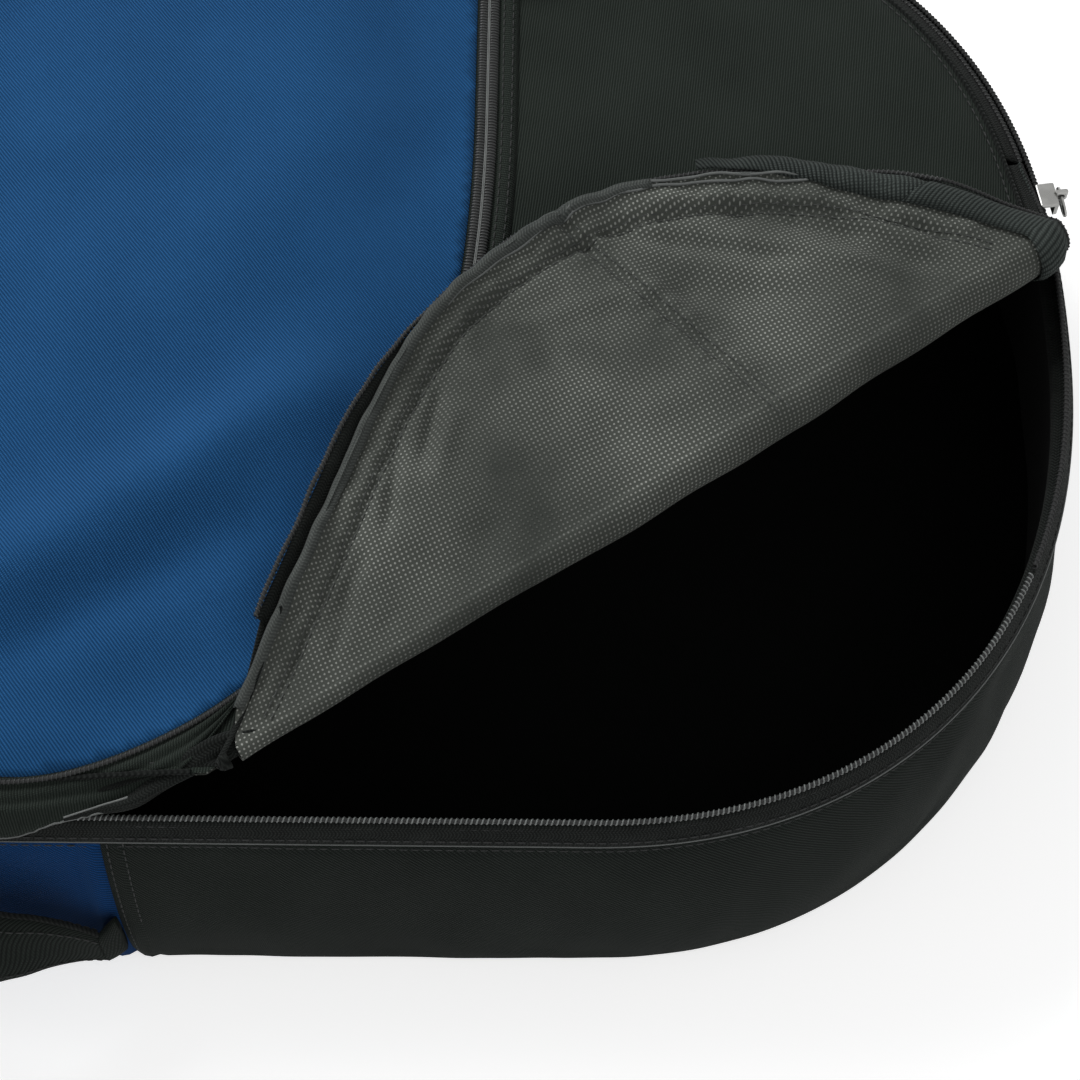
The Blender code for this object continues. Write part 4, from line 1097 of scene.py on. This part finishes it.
def build_lid():
    outline = half_outline(LID_EDGE_INSET, corner=False)
    obj = panel("lid_cloth", outline, 0.0055, lid_height, LID_CLOTH, "lid")
    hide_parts("lid_shell", "lid_foam")
    obj = panel("lid_lining_cloth", outline, 0.009, lambda plan: lid_height(plan) - lining_depth(plan),
                DIMPLED, "lid")
    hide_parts("lid_lining")
    runs = runs_between(NEAR_FOLD_RUN - 0.03, 2 * HALF_RUN + TAIL_FOLD_RUN + 0.03, 0.0035)
    edge_band("lid_edge_binding", runs, TAPE, "lid", lambda across: across < -0.0385)
    kept = runs[across_fold(inset_plan(runs, LID_EDGE_INSET)) < -0.0020]
    tube("lid_edge_piping", lid_line(kept, LID_EDGE_INSET + 0.0004, 0.0003), 0.0011, 8, WEBBING, "lid")
    stitches("lid_edge_stitches", [lid_line(kept, LID_EDGE_INSET + 0.0042, 0.0001)], THREAD, "lid",
             rise=0.0003)


# Front pocket

def pocket_points():
    """Dense tail edge of the pocket, from the far side round to the near side."""
    angle = np.linspace(0, math.pi / 2, 160)
    power = 2 / POCKET_SWEEP_POWER
    x = -POCKET_CROSS - POCKET_SWEEP_LENGTH + POCKET_SWEEP_LENGTH * np.cos(angle) ** power
    y = POCKET_SWEEP_Y - (POCKET_SWEEP_Y + POCKET_NEAR_EDGE) * np.sin(angle) ** power
    sweep = np.stack([x, y], axis=1)
    start, end = (-POCKET_CROSS, HALF_WIDTH - 0.010), (-POCKET_ZIP_END, -POCKET_NEAR_EDGE)
    return resample(np.concatenate([[start], sweep, [end]]), 0.0025)


POCKET_LINE = pocket_points()
POCKET_ALONG = path_frames(POCKET_LINE)[1]
POCKET_ACROSS = np.stack([-POCKET_ALONG[:, 1], POCKET_ALONG[:, 0]], axis=1)


def pocket_line(out, rise, keep):
    """A line beside the kept part of the pocket's edge, on the lid's face."""
    plan = POCKET_LINE + POCKET_ACROSS * out
    return raised(plan, lid_height(plan) + rise)[keep]


# Broad soft folds of the pocket's cloth: two plan points, half width and height
POCKET_FOLDS = (
    ((-0.430, -0.150), (-0.290, -0.052), 0.016, 0.0066),
    ((-0.430, -0.180), (-0.310, -0.108), 0.014, -0.0066),
    ((-0.390, -0.080), (-0.290, -0.010), 0.022, -0.0022),
    ((-0.370, 0.000), (-0.270, 0.060), 0.028, 0.0018),
)


def pocket_height(plan):
    """The blue cloth, padded a little over the lid and level at its edges."""
    inset = rim_inset(plan)
    edge = nearest_gap(plan, POCKET_LINE)
    bulge = smooth_step(edge / 0.075) * smooth_step((inset - 0.008) / 0.06)
    bulge = bulge * smooth_step((plan[:, 0] + POCKET_HEAD) / 0.07)
    folds = ripple(plan[:, 0] + plan[:, 1] * 0.6, plan[:, 1] * 0.3, 3, 0.19) * 0.0010
    fine = plan_ripple(plan, 6, 0.055) * 0.0003
    broad = 0.0
    for start, end, width, rise in POCKET_FOLDS:
        gap, _ = line_gap(plan, start, end)
        broad = broad + rise * ridge(gap, width)
    height = 0.0012 + bulge * (0.0100 + folds) + fine * smooth_step(edge / 0.01)
    return lid_height(plan) + height + broad * smooth_step(edge / 0.025) * bulge


# Section of the pocket's zipper tape: outward from the pocket's edge, and height over the lid
POCKET_TAPE_SECTION = (
    (-0.0012, 0.0003), (0.0000, 0.0006), (0.0088, 0.0006), (0.0100, 0.0008), (0.0108, 0.0019),
    (0.0125, 0.0023), (0.0142, 0.0021), (0.0158, 0.0014), (0.0172, 0.0003),
)


def build_pocket():
    near_runs = runs_between(near_run(POCKET_ZIP_END), near_run(POCKET_HEAD), 0.004)
    far_runs = -runs_between(near_run(POCKET_CROSS), near_run(POCKET_HEAD), 0.004)[::-1]
    near_side = inset_plan(near_runs, 0.0100)
    far_side = inset_plan(far_runs, 0.0100)
    outline = np.concatenate([POCKET_LINE, near_side[1:], far_side[:-1]])
    obj = panel("pocket_cloth", outline, 0.0042, pocket_height, BLUE_CLOTH, "lid", 0.0009)
    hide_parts("pocket_panel")
    level = POCKET_LINE[:, 1] > -0.020
    lines = [pocket_line(out, rise, level) for out, rise in POCKET_TAPE_SECTION]
    obj = strip("pocket_zip_tape_cloth", lines, LID_CLOTH, "lid", 0.0006)
    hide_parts("pocket_zip_tape")
    for title, out in (("inner", 0.0029), ("outer", 0.0071)):
        obj = coil("pocket_zip_coil_" + title, pocket_line(out, 0.0018, level), 0.0019, 0.00042, 0.00142,
                   COIL, "lid", flatten=0.42)
        if title == "inner":
            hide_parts("pocket_zip_coil")
    for title, out in (("a", 0.00472), ("b", 0.00528)):
        tube("pocket_zip_core_" + title, pocket_line(out, 0.0024, level), 0.00034, 6, GREY_THREAD, "lid")
    rows = [pocket_line(0.0150, 0.0019, level), pocket_line(0.0112, 0.0022, level)]
    stitches("pocket_stitches", rows, THREAD, "lid", rise=0.0003)
    near = ~level & (POCKET_LINE[:, 1] < 0)
    coil("pocket_zip_coil_near", pocket_line(0.0014, 0.0014, near), 0.00095, 0.00030, 0.0017, COIL, "lid",
         flatten=0.8)
    build_near_border(near)


# Outer edge of the cloth that overhangs the zipper beside the near slider, from the head side
NEAR_BORDER = (
    (-0.4030, -0.2200), (-0.3945, -0.2195), (-0.3856, -0.2187), (-0.3717, -0.2164), (-0.3574, -0.2140),
    (-0.3456, -0.2108), (-0.3362, -0.2060), (-0.3266, -0.2000), (-0.3175, -0.1880), (-0.3080, -0.1700),
    (-0.3000, -0.1480),
)
# Its height over the rim, at insets from it
BORDER_INSETS = (-0.0100, -0.0062, -0.0040, -0.0012, 0.0018, 0.0060, 0.0100, 0.0130)
BORDER_HEIGHTS = (0.1085, 0.1108, 0.1184, 0.1226, 0.1234, 0.1246, 0.1268, 0.1280)


def build_near_border(near):
    """Ridged tape between the pocket's edge and the rim, where the closed zipper begins."""
    outer = smooth_curve(NEAR_BORDER, 0.002)
    inner = POCKET_LINE[near & (POCKET_LINE[:, 0] > NEAR_BORDER[0][0])][::-1]
    inner = inner[inner[:, 1] < NEAR_BORDER[-1][1] + 0.010]
    marks = np.linspace(0, 1, len(outer))
    inner = at_marks(marks, np.linspace(0, 1, len(inner)), inner)
    columns = []
    for share in np.linspace(0, 1, 19):
        plan = inner + (outer - inner) * share
        inset = rim_inset(plan)
        over = np.interp(inset, BORDER_INSETS, BORDER_HEIGHTS)
        rest = lid_height(plan) + 0.0008
        height = over + (rest - over) * smooth_step((inset - 0.0080) / 0.0060)
        ridge = 0.0007 * math.cos(2 * math.pi * 3 * share) * min(1.0, 8 * share)
        columns.append(raised(plan, height + ridge))
    strip("near_border_tape", columns, LID_CLOTH, "lid", 0.0008)
    lip = columns[-1][outer[:, 0] < -0.350] + (0, -0.0002, 0.0002)
    tube("near_border_cord", lip, 0.00042, 6, GREY_THREAD, "lid")


# Folded corner

def corner_line(runs, inset, rise):
    """Line along the corner's free edge, on the face of its lining."""
    plan = inset_plan(runs, inset)
    return fold_over(raised(plan, flap_lining_height(plan) - rise))


# Section of the wide tape round the corner's tail end: inset from its first line, and rise
BAND_START = 0.0022
BAND_INSETS = np.array((0.0, 0.0035, 0.0070, 0.0105, 0.0135))
BAND_RISES = np.array((-0.0026, 0.0008, 0.0021, 0.0023, 0.0010))


def build_corner():
    outline = half_outline(0.0105, corner=True)
    obj = panel("corner_lining", outline, 0.0019, flap_lining_height, DIMPLED, "corner",
                turned=fold_over)
    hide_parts("flap_lining", "flap_foam")
    outline = half_outline(LID_EDGE_INSET, corner=True)
    obj = panel("corner_cloth", outline, 0.006, lid_height, LID_CLOTH, "corner",
                turned=fold_over)
    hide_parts("flap_shell")
    runs = runs_between(TAIL_FOLD_RUN - 0.02, NEAR_FOLD_RUN + 0.02, RUN_STEP)
    edge_band("corner_edge_binding", runs, RIBBON, "corner", lambda across: across > 0.0385,
              turned=fold_over)
    across = across_fold(inset_plan(runs, 0.0105))
    kept = runs[across > 0.012]
    section = ((0.0088, -0.0004), (0.0102, 0.0015), (0.0122, 0.0016), (0.0138, 0.0009))
    lines = [corner_line(kept[kept > 0.140], inset, rise) for inset, rise in section]
    strip("corner_ribbon", lines, RIBBON, "corner", 0.0005)
    middle = kept[(kept > 0.060) & (kept < 0.250)]
    for title, inset, rise, seed in (("a", 0.0108, 0.0009, 5), ("b", 0.0134, 0.0007, 8)):
        wave = ripple(middle, 0.0, seed, 0.024) * 0.0008
        tube("corner_cord_" + title, corner_line(middle, inset - wave, rise), 0.0006, 8, GREY_THREAD,
             "corner")
    tail = runs[(runs < 0.120) & (across > 0.030)]
    share = smooth_step((0.120 - tail) / 0.07)[:, None]
    insets = BAND_INSETS * (0.35 + 0.65 * share) + BAND_START
    rises = BAND_RISES * share
    points = np.stack([corner_line(tail, inset, rise) for inset, rise in zip(insets.T, rises.T)], axis=1)
    thicken(grid_piece("corner_tail_tape", points, section_uvs(tail, points), BAND, "corner"),
            0.0006, 0.0)
    lines = []
    for inset, rise in zip(BAND_INSETS + BAND_START, BAND_RISES):
        height = LID_TOP - border_drop(inset) - PAD_THICK - rise - 0.0006
        lines.append(turned_line(-1, -inset, height, ROLL_RADIUS + PAD_THICK + rise + 0.0004))
    pressed(strip("corner_tail_tape_turn", lines, BAND, "lid", 0.0006), 0.1215)
    rows = [corner_line(kept, 0.0226, 0.0002), corner_line(kept, 0.0256, 0.0002)]
    stitches("corner_stitches", rows, LINING_THREAD, "corner", radius=0.00026, rise=0.0002)
    share = np.linspace(0.02, 1.0, 90)[:, None]
    start, whole = np.array(CROSS_SEAM[0]), np.subtract(CROSS_SEAM[1], CROSS_SEAM[0])
    across = np.array((-whole[1], whole[0])) / np.linalg.norm(whole)
    for title, shift in (("a", -0.0022), ("b", 0.0022)):
        folded = start + whole * share + across * shift
        plan = unfolded(folded)
        for _ in range(6):
            error = folded - folded_plan(plan)
            plan = plan + error - 2 * (error @ FOLD_ACROSS)[:, None] * FOLD_ACROSS
        line = fold_over(raised(plan, flap_lining_height(plan) - 0.0002))
        stitches("cross_seam_stitches_" + title, [line], LINING_THREAD, "corner",
                 radius=0.00026)


def build_roll():
    near, tail = fold_crossings(0.0105)
    marks = np.linspace(near + NEAR_CUT, tail, 130)
    angles = np.linspace(-math.pi / 2, math.pi / 2, 25)
    outer = ROLL_RADIUS + PAD_THICK - fold_pinch(marks)[:, None]
    radius = outer + ripple(marks[:, None], angles * 0.004, 6, 0.06) * 0.0006 * np.cos(angles)
    base = raised(fold_point(marks[:, None]), np.full(len(marks), FOLD_HEIGHT))
    points = base[:, None] + np.append(FOLD_ACROSS, 0) * (radius * np.cos(angles))[..., None]
    points = points + np.array((0, 0, 1)) * (radius * np.sin(angles))[..., None]
    back = (angles - angles[-1]) * outer
    uvs = base[:, None, :2] + FOLD_ACROSS * back[..., None]
    obj = grid_piece("corner_roll_lining", points, uvs, DIMPLED, "lid")
    thicken(obj, 0.0012, 1.0)
    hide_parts("corner_roll")
    pressed(obj, LID_TOP - PAD_THICK / 2)
    build_twist()


# Middle of the twisted edge that runs from the fold's near end down to the rim, and its radii
TWIST_LINE = ((-0.3700, -0.2160, 0.1212), (-0.3574, -0.2130, 0.1232), (-0.3456, -0.2102, 0.1250),
              (-0.3362, -0.2045, 0.1275), (-0.3266, -0.1991, 0.1305), (-0.3175, -0.1934, 0.1335),
              (-0.3094, -0.1903, 0.1350), (-0.3020, -0.1880, 0.1356), (-0.2950, -0.1845, 0.1355))
TWIST_RADII = (0.0005, 0.0012, 0.0022, 0.0030, 0.0037, 0.0041, 0.0041, 0.0036, 0.0024)


def build_twist():
    """Edge of the corner, rolled and twisted where it leaves the rim."""
    sides = 40
    path = smooth_curve(TWIST_LINE, 0.0007)
    share = np.linspace(0, 1, len(path))
    radius = np.interp(share, np.linspace(0, 1, len(TWIST_RADII)), TWIST_RADII)
    points, uvs = tube_rings(path, radius, sides)
    turn = circle_angles(sides) * 3 + share[:, None] * 9.0
    swell = 1 + 0.16 * np.cos(turn) + 0.05 * np.cos(turn * 2 + 1.0)
    points = path[:, None] + (points - path[:, None]) * swell[..., None]
    obj = grid_piece("corner_twist", points, uvs, TAPE, "lid", close_columns=True)
    pressed(obj, 0.1235)
    edge = path + (0, 0.0004, 0) + np.array((0, 0.35, 0.95)) * radius[:, None]
    edge = edge[path[:, 0] < -0.3470]
    pressed(tube("corner_twist_cord", edge, 0.00045, 6, GREY_THREAD, "lid"), 0.1240)


# Carry handle, hang loop and straps

def loft(name, centres, sides, ups, widths, talls, power, material, body, around=28):
    """Skin rounded rings along a row of centres and close both ends."""
    centres, sides, ups = (np.concatenate([item[:1], item, item[-1:]]) for item in (centres, sides, ups))
    widths, talls = (np.concatenate([item[:1] * 0.02, item, item[-1:] * 0.02]) for item in (widths, talls))
    angle = circle_angles(around)
    x = np.sign(np.cos(angle)) * np.abs(np.cos(angle)) ** (2 / power)
    y = np.sign(np.sin(angle)) * np.abs(np.sin(angle)) ** (2 / power)
    points = (centres[:, None] + sides[:, None] * (x[None, :] * widths[:, None])[..., None]
              + ups[:, None] * (y[None, :] * talls[:, None])[..., None])
    uvs = uv_grid(run_lengths(centres), angle / math.pi * (widths.max() + talls.max()))
    return grid_piece(name, points, uvs, material, body, close_columns=True)


HANDLE_HEIGHT = 0.0430
HANDLE_FACE = -(HALF_WIDTH + float(wall_out(HANDLE_HEIGHT)))
HANDLE_PIVOT = HANDLE_FACE - 0.0075


def handle_section(share):
    """Centre, outward and upward directions, and the two half sizes, of the grip's section."""
    start, end = -ACCENT_END + 0.0063, -ACCENT_START - 0.0063
    swell = np.sin(math.pi * share)
    lean = math.radians(20) * swell
    x = start + (end - start) * share
    y = HANDLE_PIVOT - 0.0125 * swell ** 1.4
    centre = np.stack([x, y, HANDLE_HEIGHT + 0.0320 * swell ** 0.8], axis=-1)
    zero = np.zeros_like(share)
    side = np.stack([zero, np.cos(lean), -np.sin(lean)], axis=-1)
    up = np.stack([zero, np.sin(lean), np.cos(lean)], axis=-1)
    tall = 0.5 * (0.0280 + 0.0160 * np.minimum(1.0, swell * 1.3))
    thick = 0.5 * (0.0046 + 0.0046 * swell)
    return centre, side, up, thick, tall


def build_handle():
    share = np.linspace(0, 1, 90)
    centre, side, up, thick, tall = handle_section(share)
    pinch = np.exp(-np.minimum(share, 1 - share) / 0.05)
    centre = centre + up * (ripple(share, 0.0, 4, 0.16) * 0.0007)[:, None]
    thick = thick * (1 + 0.10 * ripple(share, 0.0, 6, 0.05) * pinch)
    obj = loft("side_handle_grip", centre, side, up, thick, tall, 3.0, BLACK_CLOTH, "side_handle",
               around=40)
    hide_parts("side_handle")
    lines = []
    for level in (-0.72, 0.72):
        for face in (-1, 1):
            lines.append(centre + side * (thick * face)[:, None] + up * (tall * level)[:, None])
    stitches("side_handle_stitches", lines, THREAD, "side_handle", rise=0.0)
    for level, title in ((-1, "low"), (1, "top")):
        path = centre + up * (tall * 0.99 * level)[:, None]
        tube(f"side_handle_seam_{title}", path, 0.0011, 8, WEBBING, "side_handle")
    for title, at, turn in (("head", ACCENT_END, -1), ("tail", ACCENT_START, 1)):
        steps = np.linspace(0, 1, 12)
        x = -at - turn * 0.0060 + turn * 0.0060 * steps
        y = (HANDLE_PIVOT - 0.0002) * (1 - steps) + (HANDLE_FACE - 0.0022) * steps
        centres = np.stack([x, y, np.full(len(steps), HANDLE_HEIGHT)], axis=1)
        sides = np.tile((0.0, 1.0, 0.0), (len(steps), 1))
        ups = np.tile((0.0, 0.0, 1.0), (len(steps), 1))
        thicks = 0.0023 + 0.0008 * np.sin(math.pi * steps)
        talls = 0.0140 + 0.0030 * steps
        obj = loft(f"handle_tab_{title}_cloth", centres, sides, ups, thicks, talls, 3.0, BLACK_CLOTH, "bag")
        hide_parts(f"handle_tab_{title}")


LOOP_HEIGHT = 0.062
LOOP_DROOP = math.radians(12)
WEB_HALF = 0.0125


def build_hang_loop():
    """A drop-shaped loop of webbing that hangs from the head end's seam."""
    angle = np.linspace(0, 2 * math.pi, 97)
    x = 0.0400 / 2 * np.cos(angle) - 0.0210
    z = 0.0090 * np.sin(angle) * np.abs(np.sin(angle / 2)) ** 1.2
    out = x * math.cos(LOOP_DROOP) - z * math.sin(LOOP_DROOP)
    rise = x * math.sin(LOOP_DROOP) + z * math.cos(LOOP_DROOP)
    place = np.array((-LENGTH - float(wall_out(LOOP_HEIGHT)) - 0.0006, 0, LOOP_HEIGHT))
    spots = np.stack([out, 0 * x, rise], axis=1) + place
    half = np.array((0, WEB_HALF, 0))
    columns = [spots + half * level for level in (-1, -0.96, -0.5, 0, 0.5, 0.96, 1)]
    obj = strip("hang_loop_webbing", columns, WEBBING, "hang_loop", 0.0018)
    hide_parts("hang_loop")


STRAP_PAD_HALF = 0.0308


def strap_place(side):
    """A strap's head end, its directions along and across, and the length of its pad."""
    head = np.array((-0.5200, side * 0.0750))
    tail = np.array((-0.1700, side * 0.1100))
    length = float(np.linalg.norm(tail - head))
    along = (tail - head) / length
    return head, along, np.array((-along[1], along[0])), length


def strap_line(side, spots, height):
    """Line through spots given along and across a shoulder strap."""
    head, along, across, _ = strap_place(side)
    return np.array([np.append(head + u * along + v * across, height) for u, v in spots])


def flat_piece(name, side, marks, half_widths, middle, half_tall, power, material, around=36):
    """A flat rounded piece laid along a shoulder strap's line."""
    head, along, across, _ = strap_place(side)
    centres = raised(head + marks[:, None] * along, np.full(len(marks), middle))
    sides = np.tile(np.append(across, 0), (len(marks), 1))
    ups = np.tile((0.0, 0.0, 1.0), (len(marks), 1))
    return loft(name, centres, sides, ups, half_widths, half_tall, power, material, "bag", around)


def round_ends(marks, half, radius):
    """Half widths of a rectangle with rounded corners."""
    end = np.minimum(marks - marks[0], marks[-1] - marks)
    cut = np.clip(1 - end / radius, 0, 1)
    return half - radius * (1 - np.sqrt(np.maximum(0, 1 - cut ** 2)))


def build_straps():
    for title, side in (("left", -1), ("right", 1)):
        length = strap_place(side)[-1]
        marks = np.linspace(0, length, 120)
        end = np.minimum(marks, length - marks)
        talls = 0.00425 * (0.45 + 0.55 * np.sqrt(np.clip(end / 0.012, 0, 1)))
        obj = flat_piece("strap_pad_cloth_" + title, side, marks, round_ends(marks, STRAP_PAD_HALF, 0.012),
                         0.00435, talls, 3.2, BLACK_CLOTH, 48)
        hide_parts("strap_pad_" + title)
        web_start = length + 0.0003
        web_end = web_start + 0.1150
        marks = np.linspace(web_start, web_end, 40)
        obj = flat_piece("strap_web_cloth_" + title, side, marks, np.full(40, WEB_HALF), 0.00505,
                         np.full(40, 0.00075), 8.0, WEBBING)
        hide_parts("strap_web_" + title)
        patches = (("yoke", -0.0400, -0.0003, STRAP_PAD_HALF),
                   ("anchor", web_end - 0.0280, web_end + 0.0120, 0.0200))
        for patch, start, last, half in patches:
            marks = np.linspace(start, last, 24)
            obj = flat_piece(f"strap_{patch}_cloth_{title}", side, marks, round_ends(marks, half, 0.0015),
                             0.0074, np.full(24, 0.0012), 8.0, WEBBING)
            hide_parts(f"strap_{patch}_{title}")
            low, high, edge = start + 0.004, last - 0.004, half - 0.004
            route = ((low, -edge), (high, -edge), (high, edge), (low, edge), (low, -edge), (high, edge))
            rows = [resample(strap_line(side, route, 0.00605), 0.002),
                    strap_line(side, (route[1], route[3]), 0.00605)]
            stitches(f"strap_{patch}_stitches_{title}", rows, THREAD, "bag", rise=-0.0001)
        rows = [resample(strap_line(side, ((0.010, level), (length - 0.010, level)), 0.0007), 0.004)
                for level in (-0.0262, 0.0262)]
        stitches("strap_pad_stitches_" + title, rows, THREAD, "bag", rise=-0.0001)


# Metal and plastic parts keep the shapes of the frame

def dress_hardware():
    looks = (
        (LACQUER, ("near_slider", "near_pull", "pocket_slider", "pocket_pull")),
        (CHROME, ("tail_slider", "tail_pull")),
        (ACETAL, ("strap_adjuster_left", "strap_adjuster_right")),
    )
    for look, names in looks:
        for name in names:
            for place in frame["nodes"][name].material_slots:
                place.material = look


# Floor, light and camera

def background_rays(graph):
    """1 for the rays that show the white background: from the camera, mirrored or let through."""
    path = graph.nodes.new("ShaderNodeLightPath")
    camera, mirrored, passed = (Value(graph, path.outputs[name])
                                for name in ("Is Camera Ray", "Is Glossy Ray", "Is Transmission Ray"))
    return graph.math("MAXIMUM", graph.math("MAXIMUM", camera, mirrored), passed)


FLOOR_REACH = 12.0
# Strength of the white world as it is seen, and as it lights the bag
SEEN_WHITE = 0.92
SKY_LIGHT = 0.36


def white_floor():
    mesh = bpy.data.meshes.new("floor")
    corners = [(x * FLOOR_REACH, y * FLOOR_REACH, 0) for x, y in ((-1, -1), (1, -1), (1, 1), (-1, 1))]
    mesh.from_pydata(corners, [], [(0, 1, 2, 3)])
    floor = bpy.data.objects.new("floor", mesh)
    bpy.context.scene.collection.objects.link(floor)
    graph = Graph(bpy.data.materials.new("white floor"))
    graph.feed(graph.inputs["Base Color"], (0.80, 0.80, 0.80))
    graph.feed(graph.inputs["Roughness"], 1.0)
    graph.feed(graph.inputs["Specular IOR Level"], 0.0)
    graph.feed(graph.inputs["Emission Color"], (1, 1, 1))
    graph.feed(graph.inputs["Emission Strength"], background_rays(graph) * 0.62)
    mesh.materials.append(graph.owner)


def light_the_scene():
    world = bpy.context.scene.world or bpy.data.worlds.new("world")
    bpy.context.scene.world = world
    graph = Graph(world, "Background")
    graph.feed(graph.inputs["Color"], (1, 1, 1))
    graph.feed(graph.inputs["Strength"], background_rays(graph) * (SEEN_WHITE - SKY_LIGHT) + SKY_LIGHT)
    middle = Vector(TO_FRAME) + Vector((-0.25, 0, 0.1))
    lamps = (("window", (-1.7, 1.3, 1.9), 1.5, 62.0), ("fill", (1.2, -1.9, 2.2), 2.2, 14.0))
    for name, offset, size, power in lamps:
        data = bpy.data.lights.new(name, "AREA")
        data.shape = "SQUARE"
        data.size = size
        data.energy = power
        lamp = bpy.data.objects.new(name, data)
        lamp.location = middle + Vector(offset)
        lamp.rotation_euler = (-Vector(offset)).to_track_quat("-Z", "Y").to_euler()
        bpy.context.scene.collection.objects.link(lamp)


def set_camera():
    """The camera that the photograph was fitted with."""
    tilt, roll = math.radians(62.7371), math.radians(-0.592)
    right = Vector((1, 0, 0))
    up = Vector((0, math.sin(tilt), math.cos(tilt)))
    back = Vector((0, -math.cos(tilt), math.sin(tilt)))
    across = right * math.cos(roll) - up * math.sin(roll)
    above = right * math.sin(roll) + up * math.cos(roll)
    data = bpy.data.cameras.new("camera")
    data.lens = 80
    data.sensor_width = 36
    camera = bpy.data.objects.new("camera", data)
    camera.matrix_world = Matrix((across, above, back)).transposed().to_4x4()
    camera.location = Vector(TO_FRAME) + Vector((-0.20326, -0.51420, 0.91873))
    bpy.context.scene.collection.objects.link(camera)
    bpy.context.scene.camera = camera
    bpy.context.scene.view_settings.view_transform = "Standard"


build_wall()
build_wall_lining()
build_back()
build_gusset_zip()
build_lid_zip()
build_lid()
build_pocket()
build_corner()
build_roll()
build_handle()
build_hang_loop()
build_straps()
dress_hardware()
white_floor()
light_the_scene()
set_camera()
